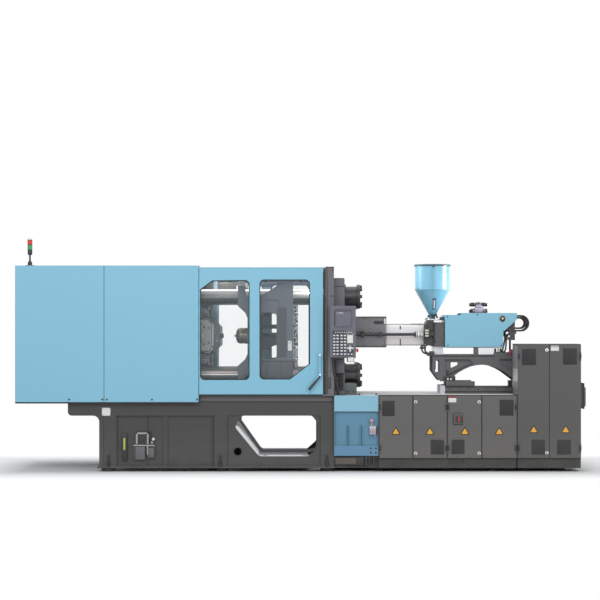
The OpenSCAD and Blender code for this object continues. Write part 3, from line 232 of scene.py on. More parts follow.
class ShaderGroups:
    """Effects that several finishes share, each built once as a node group."""

    @staticmethod
    def new(name: str, inputs: dict[str, str],
            outputs: dict[str, str]) -> tuple[NodeGraph, bpy.types.NodeOutputs]:
        """Start a group.

        Args:
            name: The group's name.
            inputs: Each input's name and kind.
            outputs: Each output's name and kind.

        Returns:
            The group's graph and its input sockets.
        """
        tree = bpy.data.node_groups.new(name, "ShaderNodeTree")
        for side, sockets in (("INPUT", inputs), ("OUTPUT", outputs)):
            for label, kind in sockets.items():
                tree.interface.new_socket(label, in_out=side, socket_type=f"NodeSocket{kind}")
        graph = NodeGraph(tree)
        return graph, graph.add("NodeGroupInput").outputs

    @cached_property
    def mottle(self) -> bpy.types.NodeTree:
        """Vary a colour's brightness in soft patches.

        Returns:
            The group.
        """
        graph, given = self.new("mottle", {"Vector": "Vector", "Colour": "Color", "Scale": "Float",
                                           "Amount": "Float"}, {"Colour": "Color", "Level": "Float"})
        level = graph.noise(given["Vector"], given["Scale"], 5.0, 0.62)
        swing = graph.maths("MULTIPLY", graph.maths("SUBTRACT", level, 0.5), given["Amount"])
        value = graph.maths("ADD", graph.maths("MULTIPLY", swing, 2.0), 1.0)
        shade = graph.add("ShaderNodeHueSaturation", {"Value": value, "Color": given["Colour"]})
        graph.add("NodeGroupOutput", {"Colour": shade.outputs[0], "Level": level})
        return graph.tree

    @cached_property
    def wear(self) -> bpy.types.NodeTree:
        """Round edges and rub them to another colour.

        Returns:
            The group.
        """
        graph, given = self.new("wear", {"Vector": "Vector", "Colour": "Color", "Edge Colour": "Color",
                                         "Radius": "Float", "Amount": "Float"},
                                {"Colour": "Color", "Normal": "Vector", "Mask": "Float"})
        rounded_normal = graph.add("ShaderNodeBevel", {"Radius": given["Radius"]}, samples=4).outputs[0]
        normal = graph.add("ShaderNodeNewGeometry").outputs["Normal"]
        turned = graph.maths("SUBTRACT", 1.0,
                             graph.vectors("DOT_PRODUCT", rounded_normal, normal).outputs["Value"])
        rubbed = graph.maths("MULTIPLY", graph.maths("MULTIPLY", turned, 9.0, True),
                             graph.noise(given["Vector"], 34.0, 3.0))
        mask = graph.maths("MULTIPLY", rubbed, given["Amount"], True)
        graph.add("NodeGroupOutput", {"Colour": graph.mix(mask, given["Colour"], given["Edge Colour"]),
                                      "Normal": rounded_normal, "Mask": mask})
        return graph.tree

    @cached_property
    def dust(self) -> bpy.types.NodeTree:
        """Dull a surface near the floor and on its upper faces.

        Returns:
            The group.
        """
        graph, given = self.new("dust", {"Vector": "Vector", "Colour": "Color", "Dust Colour": "Color",
                                         "Height": "Float", "Amount": "Float"},
                                {"Colour": "Color", "Mask": "Float"})
        height = graph.add("ShaderNodeSeparateXYZ", {0: given["Vector"]}).outputs["Z"]
        low = graph.maths("SUBTRACT", 1.0, graph.maths("DIVIDE", height, given["Height"]), True)
        normal = graph.add("ShaderNodeNewGeometry").outputs["Normal"]
        up = graph.add("ShaderNodeSeparateXYZ", {0: normal}).outputs["Z"]
        flat = graph.maths("MULTIPLY", graph.maths("SUBTRACT", up, 0.7, True), 1.6, True)
        settled = graph.maths("MULTIPLY", graph.maths("MAXIMUM", low, flat),
                              graph.noise(given["Vector"], 7.0, 6.0))
        mask = graph.maths("MULTIPLY", settled, given["Amount"], True)
        graph.add("NodeGroupOutput", {"Colour": graph.mix(mask, given["Colour"], given["Dust Colour"]),
                                      "Mask": mask})
        return graph.tree

    @cached_property
    def streaks(self) -> bpy.types.NodeTree:
        """Draw fine lines along one direction, as brushing leaves.

        Returns:
            The group.
        """
        graph, given = self.new("streaks", {"Vector": "Vector", "Stretch": "Vector", "Low": "Float",
                                            "High": "Float"}, {"Level": "Float", "Height": "Float"})
        squeezed = graph.vectors("MULTIPLY", given["Vector"], given["Stretch"]).outputs[0]
        lines = graph.noise(squeezed, 1.0, 4.0)
        span = graph.add("ShaderNodeMapRange", {"Value": lines, "To Min": given["Low"],
                                                "To Max": given["High"]})
        graph.add("NodeGroupOutput", {"Level": span.outputs[0], "Height": lines})
        return graph.tree

    @cached_property
    def zone(self) -> bpy.types.NodeTree:
        """Give 1 inside a box and 0 outside it, for a surface finished in part.

        Returns:
            The group.
        """
        graph, given = self.new("zone", {"Vector": "Vector", "Low": "Vector", "High": "Vector"},
                                {"Mask": "Float"})
        over = graph.vectors("SUBTRACT", given["Vector"], given["Low"]).outputs[0]
        under = graph.vectors("SUBTRACT", given["High"], given["Vector"]).outputs[0]
        least = graph.vectors("MINIMUM", over, under).outputs[0]
        parts = graph.add("ShaderNodeSeparateXYZ", {0: least}).outputs
        smallest = graph.maths("MINIMUM", graph.maths("MINIMUM", parts["X"], parts["Y"]), parts["Z"])
        graph.add("NodeGroupOutput", {"Mask": graph.maths("GREATER_THAN", smallest, 0.0)})
        return graph.tree


GROUPS = ShaderGroups()


@dataclass(frozen=True)
class Zone:
    """A box in which a surface has another colour, such as a machined face on a painted casting; some zones
    paint light, shade or reflections.
    """

    low: Point
    high: Point
    colour: Colour
    roughness: float = 0.4
    metallic: float = 0.0


@dataclass(frozen=True)
class Finish:
    """One finish, from which a material is made."""

    name: str
    colour: Colour
    grain: Grain = Grain.PAINT
    roughness: float = 0.45
    metallic: float = 0.0
    mottle: float = 0.05
    mottle_scale: float = 3.0
    wear: float = 0.25
    edge: Colour = (150, 150, 150)
    dust: float = 0.25
    along: Axis = Axis.X
    alpha: float = 1.0
    glow: float = 0.0
    sheen: float = 0.0
    zones: tuple[Zone, ...] = ()

    def material(self) -> bpy.types.Material:
        """Make the finish's material.

        Returns:
            The material.
        """
        made = bpy.data.materials.new(self.name)
        made.use_nodes = True
        made.node_tree.nodes.clear()
        graph = NodeGraph(made.node_tree)
        shader = graph.add("ShaderNodeBsdfPrincipled")
        graph.add("ShaderNodeOutputMaterial", {"Surface": shader.outputs[0]})
        place = graph.add("ShaderNodeTexCoord").outputs["Object"]
        colour, rough, metal = self.zoned(graph, place)
        patches = graph.call(GROUPS.mottle, {"Vector": place, "Colour": colour, "Scale": self.mottle_scale,
                                             "Amount": self.mottle})
        colour = patches["Colour"]
        if self.grain in (Grain.CLEAR, Grain.LAMP):
            self.clear(graph, shader, colour, place)
            return made
        height, strength, distance = self.relief(graph, place)
        bump: Inputs = {"Strength": strength, "Distance": distance, "Height": height}
        if self.wear:
            worn = graph.call(GROUPS.wear,
                              {"Vector": place, "Colour": colour, "Edge Colour": linear(self.edge),
                                            "Radius": EDGE_RADIUS, "Amount": self.wear})
            colour, bump["Normal"] = worn["Colour"], worn["Normal"]
        if self.dust:
            dusty = graph.call(GROUPS.dust, {"Vector": place, "Colour": colour, "Dust Colour": linear(DUST),
                                             "Height": DUST_HEIGHT, "Amount": self.dust})
            colour = dusty["Colour"]
            rough = graph.maths("ADD", rough, graph.maths("MULTIPLY", dusty["Mask"], 0.35), True)
        if self.grain in (Grain.BRUSHED, Grain.POLISHED):
            spread = graph.call(GROUPS.streaks, {"Vector": place, "Stretch": self.stretch(),
                                                 "Low": -0.07, "High": 0.09})["Level"]
        else:
            spread = graph.maths("MULTIPLY", graph.maths("SUBTRACT", patches["Level"], 0.5), 0.24)
        rough = graph.maths("ADD", rough, spread, True)
        graph.fill(shader, {"Normal": graph.add("ShaderNodeBump", bump).outputs[0], "Base Color": colour,
                            "Roughness": rough, "Metallic": metal, "Sheen Weight": self.sheen,
                            "Sheen Roughness": 0.25})
        if self.grain is Grain.PAINT:
            graph.fill(shader, {"Coat Weight": 0.18, "Coat Roughness": 0.22})
        return made

    def stretch(self) -> Point:
        """Give how far noise is squeezed each way, so that its lines run along the finish's direction."""
        return tuple(6.0 if share else 420.0 for share in self.along.value)

    def zoned(self, graph: NodeGraph, place: bpy.types.NodeSocket) -> tuple[object, object, object]:
        """Lay the finish's zones over its base.

        Args:
            graph: The material's graph.
            place: The object coordinates.

        Returns:
            The colour, the roughness and the metallic share, as sockets or values.
        """
        colour: object = linear(self.colour)
        rough: object = self.roughness
        metal: object = self.metallic
        for zone in self.zones:
            low, high = (tuple(c * MM for c in corner) for corner in (zone.low, zone.high))
            mask = graph.call(GROUPS.zone, {"Vector": place, "Low": low, "High": high})["Mask"]
            colour = graph.mix(mask, colour, linear(zone.colour))
            rough = graph.blend(mask, rough, zone.roughness)
            metal = graph.blend(mask, metal, zone.metallic)
        return colour, rough, metal

    def relief(self, graph: NodeGraph, place: bpy.types.NodeSocket) -> tuple[bpy.types.NodeSocket, float,
                                                                             float]:
        """Give the fine relief of the finish.

        Args:
            graph: The material's graph.
            place: The object coordinates.

        Returns:
            The height, and the strength and distance of the bump.
        """
        if self.grain in (Grain.BRUSHED, Grain.POLISHED):
            lines = graph.call(GROUPS.streaks, {"Vector": place, "Stretch": self.stretch(),
                                                "Low": 0.0, "High": 1.0})
            return lines["Height"], 0.10 if self.grain is Grain.BRUSHED else 0.03, 0.0004
        scale, strength, distance = {
            Grain.PAINT: (160.0, 0.10, 0.0008), Grain.TEXTURED: (420.0, 0.35, 0.0010),
            Grain.CAST: (120.0, 0.45, 0.0020), Grain.PLASTIC: (900.0, 0.25, 0.0004),
            Grain.RUBBER: (700.0, 0.30, 0.0005)}[self.grain]
        return graph.noise(place, scale, 3.0), strength, distance

    def clear(self, graph: NodeGraph, shader: bpy.types.Node, colour: bpy.types.NodeSocket,
              place: bpy.types.NodeSocket) -> None:
        """Finish a see-through or lamp material.

        Args:
            graph: The material's graph.
            shader: The shader node.
            colour: The colour to use.
            place: The object coordinates.
        """
        smears = graph.maths("MULTIPLY", graph.noise(place, 9.0, 2.0), 0.06)
        graph.fill(shader, {"Base Color": colour, "Roughness": graph.maths("ADD", smears, self.roughness),
                            "IOR": 1.45})
        if self.grain is Grain.CLEAR:
            graph.fill(shader, {"Alpha": self.alpha, "Specular IOR Level": 0.5})
        else:
            graph.fill(shader, {"Coat Weight": 0.6, "Emission Color": linear(self.colour),
                                "Emission Strength": self.glow})


class FinishBook:
    """Makes each finish's material once."""

    def __init__(self) -> None:
        """Start with no materials."""
        self.made: dict[str, bpy.types.Material] = {}

    def of(self, finish: Finish) -> bpy.types.Material:
        """Give the material of a finish.

        Args:
            finish: The finish.

        Returns:
            Its material.
        """
        if finish.name not in self.made:
            self.made[finish.name] = finish.material()
        return self.made[finish.name]

    def dress(self, node: str, finish: Finish) -> None:
        """Give a CAD node a finish.

        Args:
            node: The node's name.
            finish: Its finish.
        """
        mesh = FRAME["nodes"][node].data
        mesh.materials.clear()
        mesh.materials.append(self.of(finish))


BOOK = FinishBook()


# Colours and finishes


COVER_BLUE = Finish("cover_blue", (131, 190, 213), roughness=0.38, mottle=0.012, mottle_scale=1.2, wear=0.35,
                    edge=(170, 212, 228), dust=0.10)
# The rear door's inner face is painted lighter blue: painted light standing in for light that falls on it
# from behind.
REAR_DOOR_PAINTED_LIGHT = replace(COVER_BLUE, name="rear_door_blue_painted_light",
                    zones=(Zone((-1300, 560, 700), (400, 714, 2100), (196, 240, 254), 0.5),))
BED_GREY = Finish("bed_grey", (56, 55, 56), roughness=0.5, mottle=0.06, wear=0.35, edge=(128, 128, 128))
CABINET_GREY = Finish("cabinet_grey", (93, 91, 90), Grain.TEXTURED, 0.52, wear=0.35, edge=(150, 150, 150))
TALL_GREY = Finish("tall_grey", (80, 79, 79), Grain.TEXTURED, 0.52, wear=0.35, edge=(145, 145, 145))
GUARD_GREY = Finish("guard_grey", (99, 97, 103), roughness=0.42, wear=0.35, edge=(160, 160, 160), dust=0.1)
# The guard frame's top rail is painted light blue, a painted highlight along its top.
GUARD_FRAME_PAINTED_HIGHLIGHT = replace(GUARD_GREY, name="guard_frame_grey_painted_highlight",
                      zones=(Zone((-1030, -740, 2037), (250, 740, 2090), (168, 208, 224), 0.4),))
NOZZLE_GREY = Finish("nozzle_guard_grey", (122, 121, 125), roughness=0.42, wear=0.35, edge=(170, 170, 172),
                     dust=0.1, zones=(Zone((600, -260, 1345), (860, -166, 1405), (40, 40, 42), 0.45),))
DARK_PAINT = Finish("dark_paint", (62, 62, 64), roughness=0.5, wear=0.3, edge=(110, 110, 110))
CHROME = Finish("chrome", (226, 228, 230), Grain.POLISHED, 0.10, 1.0, mottle=0.02, wear=0.0, dust=0.0)
BRIGHT = Finish("bright_steel", (212, 212, 210), Grain.BRUSHED, 0.26, 1.0, mottle=0.04, wear=0.0, dust=0.0)
SHEET_STEEL = Finish("polished_sheet", (238, 238, 238), Grain.POLISHED, 0.28, 0.25, mottle=0.03, wear=0.0,
                     dust=0.0)
# A darker copy of the polished sheet, used as painted shade.
SHEET_SHADE = Finish("sheet_shade", (218, 214, 212), Grain.POLISHED, 0.3, 0.25, mottle=0.04, wear=0.0,
                     dust=0.0)
PLATE_GREY = Finish("plate_grey", (172, 170, 168), roughness=0.4, wear=0.2, edge=(210, 210, 208), dust=0.1)
# Painted shade: a dark grey laid where a recess lies in shade.
RECESS_PAINTED_SHADE = Finish("recess_painted_shade", (50, 50, 56), Grain.CAST, 0.5, mottle=0.06, wear=0.2,
                     edge=(110, 110, 118), dust=0.1)
PLATE_DARK = Finish("plate_dark", (76, 76, 79), roughness=0.45, wear=0.2, edge=(120, 120, 122), dust=0.05)
# Dark grooves and joints: partly their own dark colour, partly painted shade in creases, recesses and under
# edges.
GROOVE_AND_PAINTED_SHADE = Finish("groove_and_painted_shade", (44, 44, 46), Grain.CAST, 0.6, wear=0.15, edge=(96, 96, 98), dust=0.15)
OIL_DARK = Finish("oily_casting", (48, 48, 52), Grain.CAST, 0.36, mottle=0.22, mottle_scale=16.0, wear=0.4,
                  edge=(110, 112, 118), dust=0.1)
TEAL = Finish("cylinder_teal", (112, 140, 142), roughness=0.4, mottle=0.08, wear=0.35, edge=(170, 186, 186))
BRONZE = Finish("oiled_bronze", (124, 118, 98), Grain.BRUSHED, 0.34, 0.5, mottle=0.1, wear=0.3,
                edge=(180, 176, 150))
LILAC = Finish("anodised_lilac", (168, 160, 178), Grain.BRUSHED, 0.36, 0.45, mottle=0.06, wear=0.2,
               edge=(206, 202, 212))
DIAL_RIM = Finish("dial_rim", (128, 116, 128), Grain.BRUSHED, 0.3, 0.6, wear=0.2, edge=(190, 180, 190))
DIAL_FACE = Finish("dial_face", (176, 150, 158), Grain.PLASTIC, 0.3, wear=0.0, dust=0.0)
WINE_RED = Finish("valve_red", (128, 30, 48), Grain.PLASTIC, 0.36, wear=0.25, edge=(196, 96, 100), dust=0.05)
SLATE_BLUE = Finish("slate_blue", (70, 90, 106), roughness=0.44, wear=0.3, edge=(120, 140, 154))
RIM_TEAL = Finish("rim_teal", (58, 84, 94), roughness=0.5, wear=0.2, edge=(100, 130, 140))
COVER_SHADE = Finish("cover_shade", (96, 150, 174), roughness=0.42, mottle=0.02, wear=0.2,
                     edge=(150, 196, 214))
WATER_DARK = Finish("water_shade", (46, 82, 104), roughness=0.45, wear=0.2, edge=(90, 130, 150))
# Painted shade for the dark openings behind the louvre blades.
VENT_PAINTED_SHADE = Finish("vent_painted_shade", (26, 26, 28), Grain.TEXTURED, 0.5, wear=0.2, edge=(84, 84, 86))
VENT_BLADE = Finish("vent_blade", (42, 42, 44), Grain.TEXTURED, 0.5, wear=0.25, edge=(110, 110, 112))
SUMP_GREY = Finish("sump_grey", (92, 94, 98), roughness=0.45, wear=0.3, edge=(140, 142, 146))
TRAY_BROWN = Finish("tray_brown", (92, 82, 76), Grain.CAST, 0.6, mottle=0.12, wear=0.25, edge=(130, 122, 116))
PURPLE_SHADE = Finish("purple_shade", (104, 112, 134), roughness=0.45, mottle=0.1, wear=0.3,
                      edge=(140, 144, 160))
TRAY_PURPLE = Finish("tray_purple", (78, 74, 94), roughness=0.45, mottle=0.08, wear=0.3, edge=(140, 136, 150))
# The supply pipe's pale blue is raised to stand in for light in the shaded interior: partly its own blue,
# partly painted light.
PIPE_BLUE_PAINTED_LIGHT = Finish("pipe_blue_painted_light", (176, 204, 224), roughness=0.35, mottle=0.05, wear=0.2, edge=(220, 232, 240))
DUCT_OLIVE = Finish("duct_olive", (104, 100, 92), roughness=0.45, mottle=0.3, mottle_scale=22.0, wear=0.3,
                    edge=(180, 194, 194))
GALVANISED = Finish("galvanised", (205, 208, 210), Grain.BRUSHED, 0.36, 0.9, mottle=0.10, mottle_scale=22.0,
                    wear=0.0, dust=0.15, along=Axis.Y)
OILED = Finish("oiled_steel", (70, 70, 71), Grain.BRUSHED, 0.34, 0.85, mottle=0.10, wear=0.3,
               edge=(150, 150, 148), dust=0.15)
BLACK = Finish("blackened_steel", (30, 30, 31), roughness=0.42, wear=0.35, edge=(90, 90, 90), dust=0.12)
RUBBER = Finish("black_rubber", (26, 26, 27), Grain.RUBBER, 0.62, wear=0.0, dust=0.2)
HOSE = Finish("hose_rubber", (24, 24, 26), Grain.RUBBER, 0.48, wear=0.0, dust=0.12)
BRASS = Finish("brass", (196, 160, 92), Grain.BRUSHED, 0.30, 1.0, wear=0.0, dust=0.1)
CREAM = Finish("cream_ceramic", (206, 200, 178), Grain.PLASTIC, 0.4, wear=0.0, dust=0.1)
PLATE_WHITE = Finish("plate_white", (226, 226, 222), Grain.PLASTIC, 0.4, mottle=0.02, wear=0.2, dust=0.08)
SIGN_AMBER = Finish("sign_amber", (236, 170, 44), Grain.PLASTIC, 0.38, mottle=0.03, wear=0.0, dust=0.05)
SIGN_RIM = Finish("sign_rim", (38, 36, 34), Grain.PLASTIC, 0.42, wear=0.0, dust=0.05)
RED = Finish("switch_red", (196, 28, 30), Grain.PLASTIC, 0.3, wear=0.0, dust=0.03)
ORANGE_RED = Finish("handle_red", (206, 52, 40), Grain.PLASTIC, 0.34, wear=0.0, dust=0.03)
SWITCH_LEVER = Finish(
    "switch_lever", (190, 58, 66), Grain.PLASTIC, 0.34, wear=0.0, dust=0.03,
    zones=(Zone((1500, -712.3, 480), (1650, -690, 580), (58, 58, 60), 0.4),))
PANEL_SHELL = Finish("panel_shell", (101, 100, 111), Grain.PLASTIC, 0.46, mottle=0.03, wear=0.25,
                     edge=(150, 150, 160), dust=0.05)
PANEL_EDGE = Finish("panel_edge", (88, 88, 100), Grain.PLASTIC, 0.42, wear=0.0, dust=0.03)
PANEL_DARK = Finish("panel_dark", (58, 58, 66), Grain.PLASTIC, 0.42, wear=0.0, dust=0.03)
SCREEN = Finish("screen_glass", (106, 106, 118), Grain.PLASTIC, 0.10, mottle=0.06, mottle_scale=14.0,
                wear=0.0, dust=0.0)
KEY_WHITE = Finish("key_white", (216, 216, 222), Grain.PLASTIC, 0.45, wear=0.0, dust=0.03)
SIGHT_LIGHT = Finish("sight_strip", (236, 240, 242), Grain.PLASTIC, 0.2, wear=0.0, dust=0.03)
PANE = Finish("door_pane", (214, 232, 238), Grain.CLEAR, 0.03, alpha=0.05, mottle=0.02)
# The oil gauge's glass glows faintly although it is no lamp: a painted glow.
OIL_GLASS_PAINTED_GLOW = Finish("oil_glass_painted_glow", (186, 190, 70), Grain.LAMP, 0.12, glow=0.05)
LAMP_GREEN = Finish("lamp_green", (38, 150, 84), Grain.LAMP, 0.16, glow=0.10)
LAMP_RED = Finish("lamp_red", (204, 34, 34), Grain.LAMP, 0.16, glow=0.10)
LAMP_CLEAR = Finish("lamp_clear", (226, 224, 214), Grain.LAMP, 0.16, glow=0.05)
LATCH_CHROME = Finish("latch_zinc", (206, 206, 208), Grain.BRUSHED, 0.22, 1.0, wear=0.0, dust=0.05)
FOOT_GREY = Finish("foot_grey", (84, 92, 92), roughness=0.42, wear=0.3, edge=(130, 138, 138), dust=0.1)
PUMP_BLUE = Finish("pump_blue", (92, 112, 122), roughness=0.42, wear=0.3, edge=(140, 150, 155))
COPPER = Finish("copper_tube", (184, 120, 84), Grain.BRUSHED, 0.3, 1.0, wear=0.0, dust=0.1)
MILLED = (196, 196, 192)
FIXED_CASTING = Finish(
    "fixed_casting", (112, 110, 115), Grain.CAST, 0.5, mottle=0.07, wear=0.35, edge=(160, 160, 160), dust=0.1,
    zones=(Zone((249, -372, 988), (276, 372, 1732), MILLED, 0.3, 0.9),))
MOVING_CASTING = Finish(
    "moving_casting", (85, 88, 98), Grain.CAST, 0.5, mottle=0.08, wear=0.4, edge=(170, 170, 168), dust=0.1,
    zones=(Zone((-77, -376, 988), (-24, 376, 1732), (244, 244, 240), 0.4),
           Zone((-420, -600, 700), (-60, 600, 1105), (74, 72, 80), 0.5),
           Zone((-640, -600, 1866), (-556, 600, 1960), (190, 182, 178), 0.45),
           Zone((-650, -120, 1270), (-236, 120, 1450), (122, 120, 96), 0.35, 0.4)))
REAR_CASTING = Finish("rear_casting", (104, 102, 106), Grain.CAST, 0.5, mottle=0.07, wear=0.35,
                      edge=(160, 160, 160))
LINK_CASTING = Finish("link_casting", (96, 98, 100), Grain.CAST, 0.45, mottle=0.08, wear=0.45,
                      edge=(170, 168, 160), dust=0.1)
CARRIAGE_GREY = Finish("carriage_grey", (89, 89, 91), Grain.CAST, 0.46, wear=0.4, edge=(140, 140, 144),
                       dust=0.15)
CARRIAGE_FRAME = replace(
    CARRIAGE_GREY, name="carriage_frame",
    zones=(Zone((1370, -153, 1169), (1476, 153, 1249), (232, 232, 236), 0.3, 0.3),
           Zone((1829, -219, 1169), (1990, 219, 1240), (232, 230, 234), 0.3, 0.3)))
FEED_GREY = Finish(
    "feed_grey", (80, 80, 84), Grain.CAST, 0.44, mottle=0.10, wear=0.4, edge=(140, 140, 144), dust=0.1,
    zones=(Zone((1200, -260, 1200), (1374, 260, 1520), (54, 54, 52), 0.5),
           Zone((1374, -260, 1495), (1500, 260, 1530), (60, 60, 62), 0.5),
           Zone((1172, -262, 1330), (1268, 262, 1420), (230, 226, 224), 0.35, 0.3)))
WATER_BLUE = Finish(
    "water_blue", (88, 138, 164), roughness=0.4, mottle=0.02, wear=0.35, edge=(130, 180, 205), dust=0.15,
    zones=(Zone((330, -760, 598), (800, -600, 780), (136, 186, 206), 0.4),
           Zone((330, -760, 150), (800, -690, 262), (90, 140, 174), 0.4)))
RAIL_LOWER = Finish("rail_lower", (98, 92, 94), Grain.CAST, 0.5, wear=0.2, edge=(120, 116, 118), dust=0.1)
RAIL_STEEL = Finish(
    "ground_ways", (90, 90, 90), Grain.BRUSHED, 0.38, 0.3, wear=0.2, dust=0.15,
    zones=(Zone((0, -300, 1300), (3000, 300, 1450), (70, 70, 72), 0.3, 0.85),
           Zone((1430, -262, 764), (1484.5, 262, 852), (200, 195, 202), 0.35, 0.3)))
# The tie bars' chrome carries painted reflections: bands of lighter and darker colour by height stand for the
# stripes reflected in the bars.
TIE_BAR_PAINTED_REFLECTIONS = Finish(
    "tie_bar_chrome_painted_reflections", (226, 228, 230), Grain.POLISHED, 0.12, 1.0, mottle=0.02, wear=0.0, dust=0.0,
    zones=tuple(Zone((-3000, -500, low), (3000, 500, high), colour, 0.4, 0.3) for low, high, colour in (
        (1680, 1743, (58, 56, 54)), (1743, 1782, (136, 132, 130)), (1782, 1803, (196, 192, 188)),
        (1803, 1814, (84, 82, 80)), (883, 934, (70, 66, 66)), (934, 963, (104, 96, 92)),
        (963, 976, (220, 214, 210)), (976, 982, (84, 78, 76)), (982, 1003, (174, 162, 158)),
        (1003, 1037, (90, 84, 80)))))
HOPPER_BLUE = Finish("hopper_blue", (122, 182, 207), roughness=0.34, mottle=0.012, mottle_scale=1.2, wear=0.3,
                     edge=(170, 212, 228), dust=0.06, sheen=0.7)
INJECTION_GREY = Finish(
    "injection_grey", (101, 99, 99), Grain.TEXTURED, 0.52, wear=0.35, edge=(150, 150, 150),
    # The deck's top face is near white and matt: partly its own pale colour, partly a painted highlight for
    # the light on the top.
    zones=(Zone((330, -700, 763.5), (2200, 700, 770), (254, 254, 254), 1.0),
           Zone((330, -700, 0), (2900, 700, 129), (34, 34, 34), 0.5)))
# The tall cabinet's left side wall is painted in lighter bands by height: painted light falling on that side.
TALL_CABINET_PAINTED_SIDE_LIGHT = replace(TALL_GREY, name="tall_cabinet_grey_painted_side_light",
                       zones=(Zone((2150, -700, 770), (2176.5, 700, 900), (118, 118, 118), 0.5),
                              Zone((2150, -700, 900), (2176.5, 700, 1030), (186, 186, 188), 0.5),
                              Zone((2150, -700, 1030), (2176.5, 700, 1262), (138, 138, 140), 0.5),
                              Zone((2100, -700, 0), (2900, 0, 129), (34, 34, 34), 0.5)))

NODE_FINISHES: dict[str, Finish] = {
    "clamp_bed": BED_GREY, "levelling_pads": RUBBER, "drop_chute": GALVANISED, "tie_bars": TIE_BAR_PAINTED_REFLECTIONS,
    "tie_bar_nuts": OILED, "fixed_platen": FIXED_CASTING, "rear_platen": REAR_CASTING,
    "clamp_cylinder": REAR_CASTING, "moving_platen": MOVING_CASTING, "ejector_rod": BRIGHT,
    "crosshead": LINK_CASTING, "rear_cover": COVER_BLUE, "mid_cover": COVER_BLUE, "cover_screws": BLACK,
    "signal_beacon": BLACK, "guard_frame": GUARD_FRAME_PAINTED_HIGHLIGHT, "front_door": COVER_BLUE,
    "front_door_panes": PANE, "rear_door": REAR_DOOR_PAINTED_LIGHT, "rear_door_panes": PANE,
    "lubrication_unit": DARK_PAINT, "injection_bed": INJECTION_GREY, "water_box": WATER_BLUE,
    "hydraulic_pump": PUMP_BLUE, "oil_cooler": PUMP_BLUE, "tall_cabinet": TALL_CABINET_PAINTED_SIDE_LIGHT,
    "main_switch": SWITCH_LEVER, "control_panel": PANEL_SHELL, "emergency_stop": RED,
    "carriage_rails": RAIL_STEEL, "carriage_frame": CARRIAGE_FRAME, "feed_housing": FEED_GREY,
    "barrel": OILED, "barrel_cover": SHEET_STEEL, "nozzle_guard": NOZZLE_GREY, "screw": BRIGHT,
    "injection_drive": CARRIAGE_GREY, "injection_cover": COVER_BLUE, "valve_blocks": OILED,
    "hoses": HOSE, "hopper": HOPPER_BLUE, "hopper_lid": HOPPER_BLUE,
    **{f"{side}_{link}_link": LINK_CASTING
       for side in ("upper", "lower") for link in ("rear", "front", "cross")},
    **{f"cabinet_door_{i}": TALL_GREY if i > 4 else CABINET_GREY for i in range(1, 7)},
    **{f"latch_{i}": LATCH_CHROME for i in range(1, 7)},
}


# Meshes


